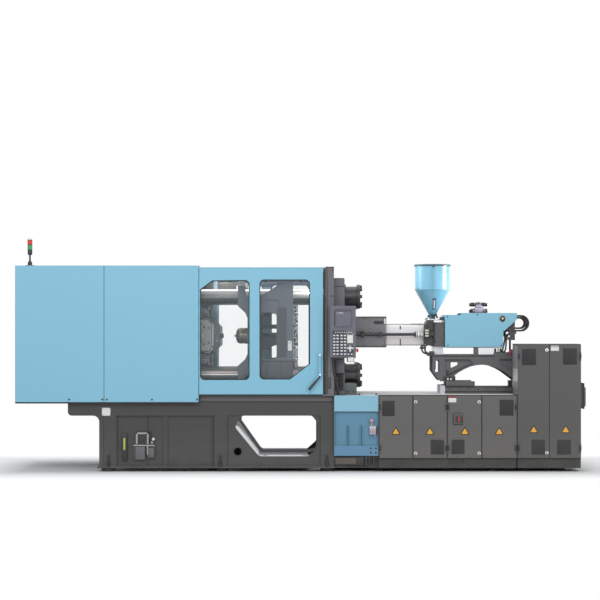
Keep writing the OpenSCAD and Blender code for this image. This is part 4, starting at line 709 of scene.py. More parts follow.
class Shape:
    """Collects the solids of one piece, in millimetres, and turns them into an object.

    Each method that adds a solid gives the shape itself, so that calls can be chained. A finish
    given to it is for that solid alone.
    """

    def __init__(self, name: str, finish: Finish) -> None:
        """Start an empty piece.

        Args:
            name: The piece's name.
            finish: Its finish.
        """
        self.name = name
        self.finishes = [finish]
        self.mesh = bmesh.new()

    def paint(self, faces: Iterable[bmesh.types.BMFace], finish: Finish | None) -> "Shape":
        """Give faces another finish than the piece's first one.

        Args:
            faces: The faces.
            finish: Their finish, or none for the piece's.

        Returns:
            The shape itself.
        """
        if finish is not None:
            if finish not in self.finishes:
                self.finishes.append(finish)
            for face in faces:
                face.material_index = self.finishes.index(finish)
        return self

    def row(self, points: Iterable[Point]) -> list[bmesh.types.BMVert]:
        """Add a row of corners and give them."""
        return [self.mesh.verts.new(point) for point in points]

    def round_row(self, centre: Vector, radius: float, across: Vector, other: Vector,
                  sides: int) -> list[bmesh.types.BMVert]:
        """Add a ring of corners.

        Args:
            centre: The ring's centre.
            radius: Its radius.
            across: The direction of its first corner.
            other: The direction of the corner a quarter turn on.
            sides: How many corners it has.

        Returns:
            The corners.
        """
        return self.row(centre + radius * (across * math.cos(turn) + other * math.sin(turn))
                        for turn in (math.tau * k / sides for k in range(sides)))

    def bridge(self, first: Sequence[bmesh.types.BMVert],
               second: Sequence[bmesh.types.BMVert]) -> list[bmesh.types.BMFace]:
        """Join two rings of corners.

        Args:
            first: The first ring.
            second: The second ring, with the same number of corners.

        Returns:
            The faces between them.
        """
        count = len(first)
        return [self.mesh.faces.new((first[k], first[(k + 1) % count], second[(k + 1) % count], second[k]))
                for k in range(count)]

    def close(self, faces: Sequence[bmesh.types.BMFace], finish: Finish | None) -> "Shape":
        """Turn a new solid's faces outwards and give them their finish."""
        bmesh.ops.recalc_face_normals(self.mesh, faces=faces)
        return self.paint(faces, finish)

    def box(self, low: Point, high: Point, bevel: float = 0.0, finish: Finish | None = None) -> "Shape":
        """Add a box between two corners.

        Args:
            low: The lowest corner.
            high: The highest corner.
            bevel: How far its edges are rounded.
            finish: The box's own finish.

        Returns:
            The shape itself.
        """
        size = [b - a for a, b in zip(low, high)]
        centre = [(a + b) / 2 for a, b in zip(low, high)]
        matrix = Matrix.Translation(centre) @ Matrix.Diagonal((*size, 1.0))
        made = bmesh.ops.create_cube(self.mesh, size=1.0, matrix=matrix)["verts"]
        faces = {face for vert in made for face in vert.link_faces}
        if bevel:
            edges = {edge for vert in made for edge in vert.link_edges}
            done = bmesh.ops.bevel(self.mesh, geom=list(edges), offset=bevel, segments=2, profile=0.6,
                                   affect="EDGES", clamp_overlap=True)["verts"]
            faces = {face for vert in done for face in vert.link_faces}.union(
                face for face in faces if face.is_valid)
        return self.paint(faces, finish)

    def turned(self, start: Point, direction: Axis, outline: Sequence[Flat], sides: int = 28,
               finish: Finish | None = None) -> "Shape":
        """Add a body turned about an axis.

        Args:
            start: Where the outline's zero lies.
            direction: The axis of turning.
            outline: Radius and distance from the start of each corner.
            sides: How many sides the round has.
            finish: The body's own finish.

        Returns:
            The shape itself.
        """
        along = Vector(direction.value)
        across = Vector((0.0, 0.0, 1.0)) if abs(along.z) < 0.5 else Vector((1.0, 0.0, 0.0))
        rings: list[list[bmesh.types.BMVert]] = []
        for radius, distance in outline:
            centre = Vector(start) + along * distance
            if radius < POINTED:
                rings.append(self.row([centre]))
            else:
                rings.append(self.round_row(centre, radius, across, along.cross(across), sides))
        faces: list[bmesh.types.BMFace] = []
        for first, second in zip(rings, rings[1:]):
            for k in range(sides):
                corners = [first[k % len(first)], first[(k + 1) % len(first)],
                           second[(k + 1) % len(second)], second[k % len(second)]]
                loop = list(dict.fromkeys(corners))
                if len(loop) > 2:
                    faces.append(self.mesh.faces.new(loop))
        faces += [self.mesh.faces.new(ring) for ring in (rings[0], rings[-1]) if len(ring) > 2]
        return self.close(faces, finish)

    def rod(self, start: Point, direction: Axis, length: float, radius: float, sides: int = 20,
            finish: Finish | None = None) -> "Shape":
        """Add a round bar with slightly broken edges.

        Args:
            start: The middle of its first end.
            direction: The way it runs.
            length: Its length.
            radius: Its radius.
            sides: How many sides the round has.
            finish: The bar's own finish.

        Returns:
            The shape itself.
        """
        lip = min(radius * 0.14, length * 0.2)
        return self.turned(start, direction, [(radius - lip, 0), (radius, lip), (radius, length - lip),
                                              (radius - lip, length)], sides, finish)

    def slab(self, outline: Sequence[Flat], front: float, back: float,
             finish: Finish | None = None) -> "Shape":
        """Add a plate.

        Args:
            outline: Its outline in X and Z.
            front: Its first depth in Y.
            back: Its second depth.
            finish: The plate's own finish.

        Returns:
            The shape itself.
        """
        near, far = (self.row((x, y, z) for x, z in outline) for y in (front, back))
        faces = [self.mesh.faces.new(near), self.mesh.faces.new(far[::-1])]
        return self.close(faces + self.bridge(near, far), finish)

    def frame(self, outer: Sequence[Flat], inner: Sequence[Flat], front: float, back: float,
              finish: Finish | None = None) -> "Shape":
        """Add a flat ring between two outlines with the same number of points.

        Args:
            outer: One outline in X and Z.
            inner: The other outline.
            front: The ring's first depth in Y.
            back: Its second depth.
            finish: The ring's own finish.

        Returns:
            The shape itself.
        """
        loops = [self.row((x, y, z) for x, z in outline)
                 for outline, y in ((outer, front), (outer, back), (inner, back), (inner, front))]
        return self.close([face for first, second in zip(loops, loops[1:] + loops[:1])
                           for face in self.bridge(first, second)], finish)

    def beam(self, start: Point, end: Point, width: float, depth: float,
             finish: Finish | None = None) -> "Shape":
        """Add a flat bar from one point to another.

        Args:
            start: The middle of its first end, at its least Y.
            end: The middle of its second end.
            width: Its width across.
            depth: Its depth along Y.
            finish: The bar's own finish.

        Returns:
            The shape itself.
        """
        first, second = Vector(start), Vector(end)
        side = (second - first).cross(Vector((0.0, 1.0, 0.0))).normalized() * width / 2
        back = Vector((0.0, depth, 0.0))
        ends = [self.row(point + step for step in (side, -side, back - side, back + side))
                for point in (first, second)]
        return self.close(self.bridge(*ends) + [self.mesh.faces.new(end_row) for end_row in ends], finish)

    def tube(self, points: Sequence[Point], radius: float, sides: int = 10, finish: Finish | None = None,
             smooth: int = 2) -> "Shape":
        """Add a round tube along a line of points.

        Args:
            points: The corners of the route.
            radius: The tube's radius.
            sides: How many sides the round has.
            finish: The tube's own finish.
            smooth: How often the route's corners are cut.

        Returns:
            The shape itself.
        """
        route = [Vector(point) for point in points]
        for _ in range(smooth):
            cut = [route[0]]
            for first, second in zip(route, route[1:]):
                cut += [first.lerp(second, 0.25), first.lerp(second, 0.75)]
            route = cut + [route[-1]]
        rings: list[list[bmesh.types.BMVert]] = []
        side = None
        for index, point in enumerate(route):
            along = (route[min(index + 1, len(route) - 1)] - route[max(index - 1, 0)]).normalized()
            if side is None:
                side = along.orthogonal().normalized()
            side = (side - along * side.dot(along)).normalized()
            rings.append(self.round_row(point, radius, side, along.cross(side), sides))
        faces = [face for first, second in zip(rings, rings[1:]) for face in self.bridge(first, second)]
        return self.close(faces + [self.mesh.faces.new(rings[0]), self.mesh.faces.new(rings[-1])], finish)

    def mirrored(self) -> "Shape":
        """Add the same solids on the other side of the machine.

        Returns:
            The shape itself.
        """
        mesh = self.mesh
        copies = bmesh.ops.duplicate(mesh, geom=mesh.faces[:] + mesh.edges[:] + mesh.verts[:])["geom"]
        for item in copies:
            if isinstance(item, bmesh.types.BMVert):
                item.co.y = -item.co.y
        bmesh.ops.reverse_faces(mesh, faces=[item for item in copies if isinstance(item, bmesh.types.BMFace)])
        return self

    def place(self, body: str, slot: str) -> bpy.types.Object:
        """Turn the solids into an object that rides on a body.

        Args:
            body: The body that it rides on.
            slot: The record's material slot; not used.

        Returns:
            The object.
        """
        for vert in self.mesh.verts:
            vert.co = vert.co * MM
        mesh = bpy.data.meshes.new(self.name)
        self.mesh.to_mesh(mesh)
        self.mesh.free()
        for finish in self.finishes:
            mesh.materials.append(BOOK.of(finish))
        for face in mesh.polygons:
            face.use_smooth = True
        mesh.set_sharp_from_angle(angle=math.radians(SHARP_ANGLE))
        made = bpy.data.objects.new(self.name, mesh)
        bpy.context.scene.collection.objects.link(made)
        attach(made, body)
        LOG.info("piece %s on %s: %d faces", self.name, body, len(mesh.polygons))
        return made


class Unit(Enum):
    """What a repeating piece is made of."""

    SOCKET_SCREW = "round screw head with a socket"
    KEY = "rounded key"
    STRIP = "narrow strip"


@dataclass(frozen=True)
class Repeat:
    """A small shape repeated at given places, built with geometry nodes."""

    name: str
    unit: Unit
    finish: Finish
    size: Point
    facing: Axis = Axis.Y
    flip: bool = False

    def tree(self) -> tuple[bpy.types.NodeTree, dict[str, str]]:
        """Build the node tree that puts the shape at each point.

        Returns:
            The tree and the identifier of each named input.
        """
        tree = bpy.data.node_groups.new(self.name, "GeometryNodeTree")
        sockets: dict[str, str] = {}
        for label, kind in (("Geometry", "Geometry"), ("Width", "Float"), ("Depth", "Float"),
                            ("Height", "Float"), ("Rotation", "Rotation")):
            made = tree.interface.new_socket(label, in_out="INPUT", socket_type=f"NodeSocket{kind}")
            sockets[label] = made.identifier
        tree.interface.new_socket("Geometry", in_out="OUTPUT", socket_type="NodeSocketGeometry")
        graph = NodeGraph(tree)
        given = graph.add("NodeGroupInput").outputs
        build = self.screw if self.unit is Unit.SOCKET_SCREW else self.block
        turn = graph.add("GeometryNodeTransform", {"Geometry": build(graph, given),
                                                   "Rotation": given["Rotation"]})
        spread = graph.add("GeometryNodeInstanceOnPoints", {"Points": given["Geometry"],
                                                            "Instance": turn.outputs[0]})
        real = graph.add("GeometryNodeRealizeInstances", {0: spread.outputs[0]})
        dressed = graph.add("GeometryNodeSetMaterial", {"Geometry": real.outputs[0],
                                                        "Material": BOOK.of(self.finish)})
        graph.add("NodeGroupOutput", {0: dressed.outputs[0]})
        return tree, sockets

    def block(self, graph: NodeGraph, given: bpy.types.NodeOutputs) -> bpy.types.NodeSocket:
        """Build a strip or a key, with its foot at zero and its height along Z.

        Args:
            graph: The tree's graph.
            given: The tree's input sockets.

        Returns:
            The shape's geometry.
        """
        size = graph.add("ShaderNodeCombineXYZ", {"X": given["Width"], "Y": given["Depth"],
                                                  "Z": given["Height"]}).outputs[0]
        rows = 4 if self.unit is Unit.KEY else 2
        made = graph.add("GeometryNodeMeshCube", {"Size": size, "Vertices X": rows,
                                                  "Vertices Y": rows}).outputs["Mesh"]
        if self.unit is Unit.KEY:
            made = graph.add("GeometryNodeSubdivisionSurface", {"Mesh": made, "Level": 1}).outputs[0]
        up = graph.add("ShaderNodeCombineXYZ",
                       {"Z": graph.maths("MULTIPLY", given["Height"], 0.5)}).outputs[0]
        return graph.add("GeometryNodeTransform", {"Geometry": made, "Translation": up}).outputs[0]

    @staticmethod
    def screw(graph: NodeGraph, given: bpy.types.NodeOutputs) -> bpy.types.NodeSocket:
        """Build a round screw head with a socket sunk into it.

        Args:
            graph: The tree's graph.
            given: The tree's input sockets.

        Returns:
            The head's geometry.
        """
        head = graph.add("GeometryNodeMeshCone", {
            "Vertices": 16, "Depth": given["Height"],
            "Radius Bottom": graph.maths("MULTIPLY", given["Width"], 0.5),
            "Radius Top": graph.maths("MULTIPLY", given["Width"], 0.44)}).outputs
        rim = graph.add("GeometryNodeExtrudeMesh", {
            "Mesh": head["Mesh"], "Selection": head["Top"], "Offset Scale": 0.0, "Individual": True},
            mode="FACES").outputs
        inset = graph.add("GeometryNodeScaleElements", {"Geometry": rim["Mesh"], "Selection": rim["Top"],
                                                        "Scale": 0.55}).outputs
        sink = graph.add("GeometryNodeExtrudeMesh", {
            "Mesh": inset[0], "Selection": rim["Top"],
            "Offset Scale": graph.maths("MULTIPLY", given["Height"], -0.5)}, mode="FACES")
        return sink.outputs["Mesh"]

    def place(self, points: Sequence[Point], body: str, slot: str) -> bpy.types.Object:
        """Put the shape at each point and make one plain piece of it.

        Args:
            points: The places, in millimetres.
            body: The body that the piece rides on.
            slot: The record's material slot; not used.

        Returns:
            The piece.
        """
        seeds = bpy.data.meshes.new(self.name + "_places")
        seeds.from_pydata([Vector(point) * MM for point in points], [], [])
        carrier = bpy.data.objects.new(self.name + "_carrier", seeds)
        bpy.context.scene.collection.objects.link(carrier)
        tree, sockets = self.tree()
        modifier = carrier.modifiers.new("repeat", "NODES")
        modifier.node_group = tree
        for label, value in zip(("Width", "Depth", "Height"), self.size):
            modifier[sockets[label]] = value * MM
        modifier[sockets["Rotation"]] = self.rotation()
        depsgraph = bpy.context.evaluated_depsgraph_get()
        mesh = bpy.data.meshes.new_from_object(carrier.evaluated_get(depsgraph), depsgraph=depsgraph)
        carrier.modifiers.remove(modifier)
        bpy.data.objects.remove(carrier)
        mesh.name = self.name
        for face in mesh.polygons:
            face.use_smooth = self.unit is Unit.KEY
        made = bpy.data.objects.new(self.name, mesh)
        bpy.context.scene.collection.objects.link(made)
        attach(made, body)
        LOG.info("piece %s on %s: %d places", self.name, body, len(points))
        return made

    def rotation(self) -> Point:
        """Give the turn, in radians, that points the shape's height where it faces.

        Returns:
            The turn about each axis.
        """
        sign = -1.0 if self.flip else 1.0
        return {Axis.Z: (0.0 if sign > 0 else math.pi, 0.0, 0.0), Axis.Y: (-sign * math.pi / 2, 0.0, 0.0),
                Axis.X: (0.0, sign * math.pi / 2, 0.0)}[self.facing]


def grid(xs: Iterable[float], y: float, zs: Iterable[float]) -> list[Point]:
    """Give the points of a grid in X and Z at one depth."""
    rows = list(zs)
    return [(x, y, z) for x in xs for z in rows]


def rounded_box(x0: float, x1: float, z0: float, z1: float, radius: float, steps: int = 5) -> list[Flat]:
    """Give the outline of a box with round corners.

    Args:
        x0: Left side.
        x1: Right side.
        z0: Lower side.
        z1: Upper side.
        radius: Corner radius.
        steps: Points in each corner, less one.

    Returns:
        The outline's points in X and Z.
    """
    centres = ((x1 - radius, z0 + radius, -90), (x1 - radius, z1 - radius, 0),
               (x0 + radius, z1 - radius, 90), (x0 + radius, z0 + radius, 180))
    return [(x + radius * math.cos(math.radians(start + 90 * k / steps)),
             z + radius * math.sin(math.radians(start + 90 * k / steps)))
            for x, z, start in centres for k in range(steps + 1)]


def rounded(points: Sequence[Flat], radii: Sequence[float], steps: int = 5) -> list[Flat]:
    """Give an outline with each of its corners rounded.

    Args:
        points: The corners, anticlockwise.
        radii: The radius of each corner.
        steps: Points in each corner, less one.

    Returns:
        The outline's points.
    """
    made: list[Flat] = []
    for k, radius in enumerate(radii):
        corner = Vector(points[k])
        before = (Vector(points[k - 1]) - corner).normalized()
        after = (Vector(points[(k + 1) % len(points)]) - corner).normalized()
        half = before.angle(after) / 2
        centre = corner + (before + after).normalized() * radius / math.sin(half)
        first = corner + before * radius / math.tan(half) - centre
        second = corner + after * radius / math.tan(half) - centre
        for step in range(steps + 1):
            arm = first.slerp(second, step / steps) * radius
            made.append((centre.x + arm.x, centre.y + arm.y))
    return made


def circle(x: float, z: float, radius: float, sides: int = 40) -> list[Flat]:
    """Give the points of a circle in X and Z."""
    return [(x + radius * math.cos(math.tau * k / sides), z + radius * math.sin(math.tau * k / sides))
            for k in range(sides)]


def ring(outline: Sequence[Flat], width: float) -> list[Flat]:
    """Give an outline moved outwards.

    Args:
        outline: The outline, anticlockwise.
        width: How far it moves.

    Returns:
        The moved outline.
    """
    moved: list[Flat] = []
    for k, (x, z) in enumerate(outline):
        before, after = outline[k - 1], outline[(k + 1) % len(outline)]
        along = Vector((after[0] - before[0], after[1] - before[1])).normalized()
        moved.append((x + along.y * width, z - along.x * width))
    return moved


# Sub-assemblies


@dataclass(frozen=True)
class Lamp:
    """A square lamp, in metres, degrees and watts."""

    name: str
    place: Point
    target: Point
    size: float
    spread: float
    power: float


LAMPS = (
    Lamp("key", (-3.5, -9.0, 6.5), (0.0, 0.0, 1.0), 6.0, 180.0, 330.0),
    Lamp("fill", (5.5, -8.0, 3.0), (0.5, 0.0, 1.0), 5.0, 180.0, 135.0),
    Lamp("front", (-0.6, -13.0, 5.2), (-0.3, 0.0, 1.3), 1.6, 180.0, 70.0),
    Lamp("clamp_inside", (-0.80, 0.30, 2.01), (-0.9, 0.65, 1.2), 0.1, 150.0, 0.7),
    Lamp("mould_inside", (0.10, -0.55, 2.0), (-0.05, -0.4, 1.1), 0.1, 150.0, 1.5),
    Lamp("top", (0.0, 1.5, 7.5), (0.0, 0.0, 0.0), 7.0, 180.0, 195.0),
    Lamp("hopper_right", (7.1, -0.4, 1.9), (1.37, 0.0, 1.88), 0.5, 7.0, 1.5),
    Lamp("hopper_left", (-4.0, 0.2, 3.2), (1.37, 0.0, 1.95), 0.5, 6.0, 0.9))


@dataclass
class Studio:
    """The floor, the lights and the camera."""

    distance: float = 18000.0
    picture_width: float = 6000.0
    eye_height: float = 1420.0
    picture_x: float = -5.0
    picture_z: float = 1720.0
    sensor: float = 36.0
    view_end: float = 200.0
    floor_half: float = 60.0
    shadow_half: Flat = (2.8, 0.72)
    shadow_fade: float = 0.9

    def build(self) -> None:
        """Make the camera, the floor and the lights."""
        self.camera()
        self.floor()
        self.lights()

    def camera(self) -> None:
        """Put a level camera in front of the machine."""
        lens = bpy.data.cameras.new("camera")
        lens.sensor_width = self.sensor
        lens.lens = self.sensor * self.distance / self.picture_width
        lens.shift_y = (self.picture_z - self.eye_height) / self.picture_width
        lens.clip_end = self.view_end
        made = bpy.data.objects.new("camera", lens)
        made.location = (self.picture_x * MM, (FRONT - self.distance) * MM, self.eye_height * MM)
        made.rotation_euler = (math.pi / 2, 0.0, 0.0)
        bpy.context.scene.collection.objects.link(made)
        bpy.context.scene.camera = made

    def floor(self) -> None:
        """Make the pale floor, which the camera sees as white away from the machine's shadow."""
        mesh = bpy.data.meshes.new("floor")
        size = self.floor_half
        mesh.from_pydata([(-size, -size, 0), (size, -size, 0), (size, size, 0), (-size, size, 0)], [],
                         [(0, 1, 2, 3)])
        made = bpy.data.objects.new("floor", mesh)
        bpy.context.scene.collection.objects.link(made)
        material = bpy.data.materials.new("floor")
        material.use_nodes = True
        material.node_tree.nodes.clear()
        graph = NodeGraph(material.node_tree)
        place = graph.add("ShaderNodeTexCoord").outputs["Object"]
        parts = graph.add("ShaderNodeSeparateXYZ", {0: place}).outputs
        over_x = graph.maths("SUBTRACT", graph.maths("ABSOLUTE", parts["X"]), self.shadow_half[0])
        over_y = graph.maths("SUBTRACT", graph.maths("ABSOLUTE", parts["Y"]), self.shadow_half[1])
        far = graph.maths("DIVIDE", graph.maths("MAXIMUM", over_x, over_y), self.shadow_fade, True)
        diffuse = graph.add("ShaderNodeBsdfDiffuse", {"Color": linear((246, 246, 246))})
        white = graph.add("ShaderNodeEmission", {"Color": WHITE})
        mixed = graph.add("ShaderNodeMixShader", {0: graph.maths("MULTIPLY", far, self.seen(graph)),
                                                  1: diffuse.outputs[0], 2: white.outputs[0]})
        graph.add("ShaderNodeOutputMaterial", {"Surface": mixed.outputs[0]})
        mesh.materials.append(material)

    @staticmethod
    def seen(graph: NodeGraph) -> bpy.types.NodeSocket:
        """Find what is seen directly, in a mirror or through a pane.

        Args:
            graph: The graph to work in.

        Returns:
            The socket that is 1 where that is so.
        """
        path = graph.add("ShaderNodeLightPath").outputs
        direct = graph.maths("MAXIMUM", path["Is Camera Ray"], path["Is Glossy Ray"])
        return graph.maths("MAXIMUM", direct, path["Is Transmission Ray"])

    def lights(self) -> None:
        """Light the machine from the front, the left and above."""
        world = bpy.data.worlds.new("world")
        bpy.context.scene.world = world
        world.use_nodes = True
        world.node_tree.nodes.clear()
        graph = NodeGraph(world.node_tree)
        dim = graph.add("ShaderNodeBackground", {"Color": SKY, "Strength": SKY_STRENGTH})
        white = graph.add("ShaderNodeBackground", {"Color": WHITE, "Strength": 1.0})
        mixed = graph.add("ShaderNodeMixShader",
                          {0: self.seen(graph), 1: dim.outputs[0], 2: white.outputs[0]})
        graph.add("ShaderNodeOutputWorld", {"Surface": mixed.outputs[0]})
        for plan in LAMPS:
            lamp = bpy.data.lights.new(plan.name, "AREA")
            lamp.size = plan.size
            lamp.spread = math.radians(plan.spread)
            lamp.energy = plan.power
            made = bpy.data.objects.new(plan.name, lamp)
            made.location = plan.place
            aim = Vector(plan.target) - Vector(plan.place)
            made.rotation_euler = aim.to_track_quat("-Z", "Y").to_euler()
            bpy.context.scene.collection.objects.link(made)


@dataclass
class TailHoses:
    """The hoses that leave the manifold under the cowl and loop back into it."""

    radius: float = 9.0
    start_x: float = 2213.0
    start_z: float = 1567.0
    straight: float = 70.0
    places: tuple[float, ...] = (-90.0, -30.0, 30.0, 90.0)

    def route(self, place: float, bend: float, drop: float) -> list[Point]:
        """Give the centreline of a hose.

        Args:
            place: The hose's distance from the middle.
            bend: The radius of its loop.
            drop: How far below the first port it starts.

        Returns:
            The points of the route.
        """
        turns = [math.radians(7.5 * k) for k in range(25)]
        loop = [(self.straight + bend * math.sin(turn), bend * (math.cos(turn) - 1)) for turn in turns]
        offsets = [(0.0, 0.0), *loop, (0.0, -2 * bend)]
        return [(self.start_x + x, place, self.start_z - drop + z) for x, z in offsets]

    def build(self) -> None:
        """Make the four hoses as cords."""
        for k, place in enumerate(self.places):
            bend, drop = (54.0, 20.0) if k % 2 else (77.0, 0.0)
            points = self.route(place, bend, drop)
            hose = self.curve(f"tail_hose_{k + 1}", points)
            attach(hose, "carriage")
            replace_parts(hose, "hoses")
            [c * MM for c in points[0]]

    def curve(self, name: str, points: Sequence[Point]) -> bpy.types.Object:
        """Make a round hose that follows points.

        Args:
            name: The hose's name.
            points: Its centreline.

        Returns:
            The hose.
        """
        line = bpy.data.curves.new(name, "CURVE")
        line.dimensions = "3D"
        line.bevel_depth = self.radius * MM
        line.bevel_resolution = 4
        line.use_fill_caps = True
        spline = line.splines.new("POLY")
        spline.points.add(len(points) - 1)
        for target, point in zip(spline.points, points):
            target.co = (*(c * MM for c in point), 1.0)
        line.materials.append(BOOK.of(HOSE))
        made = bpy.data.objects.new(name, line)
        bpy.context.scene.collection.objects.link(made)
        return made


@dataclass
class Beacon:
    """The status light on the tail cover."""

    x: float = -2725.0
    y: float = -590.0
    foot: float = 2065.0

    def build(self) -> None:
        """Make the pole, the housing and the lenses."""
        z = self.foot
        light = Shape("beacon_light", BLACK)
        light.box((self.x - 44, self.y - 29, z), (self.x + 44, self.y + 29, z + 8), 2)
        light.turned((self.x, self.y, z + 8), Axis.Z, [
            (22, 0), (22, 30), (12, 40), (10, 52), (9, 52), (9, 100), (20, 106), (24, 112), (24, 163),
            (23, 164)])
        for start, finish in ((163, LAMP_GREEN), (213, LAMP_RED)):
            light.turned((self.x, self.y, z + start), Axis.Z, [(23, 1), (25, 4), (25, 45), (23, 48)],
                         finish=finish)
            light.turned((self.x, self.y, z + start + 47), Axis.Z, [(25.5, 0), (25.5, 3), (25, 4)])
        light.turned((self.x, self.y, z + 262), Axis.Z, [(25, 0), (24, 6), (18, 16), (8, 20), (0, 21)],
                     finish=LAMP_CLEAR)
        made = light.place("root", "lamp_plastic")
        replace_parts(made, "signal_beacon")


@dataclass
class OperatorPanel:
    """What is set into the control panel's front."""

    face: float = PANEL_FACE
    key_columns: tuple[float, ...] = (335, 368, 408, 442)
    key_rows: tuple[float, ...] = (1365, 1335, 1303, 1272, 1243, 1213, 1180)

    def build(self) -> None:
        """Make the screen, the keys, the pad and the small housings below."""
        y = self.face
        screen = Shape("panel_screen", PANEL_DARK)
        screen.slab(rounded_box(344, 509, 1449, 1608, 8), y - 1, y + 16, PANEL_EDGE)
        screen.box((356, y - 2, 1461), (498, y - 0.5, 1597), 0.4, SCREEN)
        screen.place("control_panel", "panel_plastic")
        membrane = Shape("panel_membrane", PANEL_DARK)
        membrane.slab(rounded_box(318, 456, 1162, 1412, 7), y - 1.2, y + 2)
        membrane.slab(rounded_box(461, 526, 1162, 1268, 6), y - 1.2, y + 2)
        membrane.slab(rounded_box(464, 522, 1291, 1370, 4), y - 1.6, y + 2, PLATE_WHITE)
        for x, z in ((466, 1378), (521, 1378)):
            membrane.rod((x, y - 3, z), Axis.Y, 4, 4, 10, CHROME)
        membrane.place("control_panel", "panel_plastic")
        Repeat("panel_keys", Unit.KEY, KEY_WHITE, (24, 15, 5), Axis.Y, True).place(
            grid(self.key_columns, y - 0.5, self.key_rows), "control_panel", "panel_plastic")
        Repeat("panel_function_keys", Unit.KEY, KEY_WHITE, (13, 9, 5), Axis.Y, True).place(
            grid([349 + 22 * k for k in range(8)], y - 0.5, [1396]), "control_panel", "panel_plastic")
        Repeat("panel_side_keys", Unit.KEY, KEY_WHITE, (20, 13, 5), Axis.Y, True).place(
            grid([476, 509], y - 0.5, [1180]), "control_panel", "panel_plastic")
        pad = Shape("panel_pad", KEY_WHITE)
        pad.slab([(484, 1206), (502, 1206), (502, 1231), (527, 1231), (527, 1249), (502, 1249), (502, 1264),
                  (484, 1264), (484, 1249), (461, 1249), (461, 1231), (484, 1231)], y - 4, y)
        for points in (((493, 1216), (498, 1224), (488, 1224)), ((493, 1262), (488, 1254), (498, 1254)),
                       ((466, 1240), (474, 1235), (474, 1245)), ((522, 1240), (514, 1245), (514, 1235))):
            pad.slab(points, y - 4.6, y - 3.8, PANEL_DARK)
        pad.place("control_panel", "panel_plastic")
        stop = Shape("stop_collar", SIGN_AMBER)
        stop.rod((550, -802, 1218), Axis.X, 4, 26, 24)
        stop.place("control_panel", "panel_plastic")
        button = Shape("stop_button", RED)
        button.turned((559, -802, 1218), Axis.X,
                      [(11, -19), (11, 0), (15, 1), (19, 5), (19, 12), (17, 16), (0, 17)], 28)
        button.turned((576, -802, 1218), Axis.X, [(12, -1), (12, 0.4), (0, 0.6)], 24, ORANGE_RED)
        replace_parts(button.place("emergency_stop", "stop_red"), "emergency_stop")
        under = Shape("panel_port_cover", PLATE_WHITE)
        under.box((470, -839, 1104), (529, -792, 1148), 5)
        for low, high in (((466, 1101), (533, 1105)), ((466, 1101), (471, 1148)), ((528, 1101), (533, 1148))):
            under.box((low[0], -840, low[1]), (high[0], -794, high[1]), 1, PANEL_DARK)
        under.place("control_panel", "panel_plastic")


@dataclass
class CoverTrim:
    """Seals on the covers, and what is fixed to the post beside the front door."""

    seam: float = -1965.0
    post: tuple[float, float] = (250.0, 335.0)

    def build(self) -> None:
        """Make the seals, the painted shadow strip under the covers, the post's cap and its small parts."""
        left, right = self.post
        seals = Shape("cover_seals_and_painted_shadow", RUBBER)
        seals.box((self.seam - 2.5, FRONT - 0.8, 697), (self.seam + 2.5, FRONT + 6, 2064))
        # A black strip along the lower edge of the covers, a painted shadow under them.
        seals.box((-2853, FRONT - 1, 684), (-1020, FRONT + 4, 699))
        seals.box((-1015, FRONT + 4, 760), (left - 24, FRONT + 10, 775))
        seals.box((left - 23, FRONT + 6, 777), (left - 2, FRONT + 24, 2036))
        seals.mirrored().place("root", "pad_rubber")
        caps = Shape("post_trim", BLACK)
        caps.box((left - 1, FRONT - 3, 2044), (right + 2, -655, 2053), 1)
        caps.box((left + 2, FRONT - 2, 777), (left + 26, FRONT + 1, 2034), 0.5, DARK_PAINT)
        caps.box((left + 17, FRONT - 5, 836), (left + 54, FRONT + 1, 948), 2)
        caps.box((left + 21, FRONT - 6, 842), (left + 48, FRONT - 4, 940), 0.5, DARK_PAINT)
        for x, z in ((53, 1760), (74, 1760), (53, 1010), (72, 2020)):
            caps.rod((left + x, FRONT - 5, z), Axis.Y, 6, 7, 12)
        caps.mirrored().place("root", "black_steel")
        conduit = Shape("panel_conduit", BLACK)
        conduit.tube([(322, -738, 1135), (330, -735, 1050), (348, -712, 930), (372, -690, 830),
                      (380, -672, 770)], 13, 12)
        for z in (1120, 930):
            conduit.box((318 if z > 1000 else 340, -742, z), (352 if z > 1000 else 374, -700, z + 16), 2)
        conduit.place("root", "black_steel")
        boxes = Shape("platen_junction_box", GUARD_GREY)
        boxes.box((352, -600, 985), (438, -558, 1118), 3)
        boxes.box((358, -602, 991), (432, -599, 1112), 1)
        for x in (372, 398, 424):
            boxes.rod((x, -580, 835), Axis.Z, 150, 8, 12, BLACK)
            boxes.rod((x, -580, 968), Axis.Z, 20, 12, 6, BLACK)
        boxes.box((360, -590, 818), (436, -566, 838), 2, BLACK)
        boxes.box((280, -561.5, 1856), (446, -559, 1864), 0.4, BLACK)
        boxes.place("root", "guard_grey")
        foot = Shape("platen_feet", FOOT_GREY)
        foot.box((446, -558, 765), (568, -530, 884), 4)
        foot.box((446, -556, 884), (540, -534, 892), 2, BLACK)
        for x in (476, 538):
            foot.rod((x, -562, 800), Axis.Y, 8, 9, 6, BLACK)
        foot.mirrored().place("root", "platen_grey")


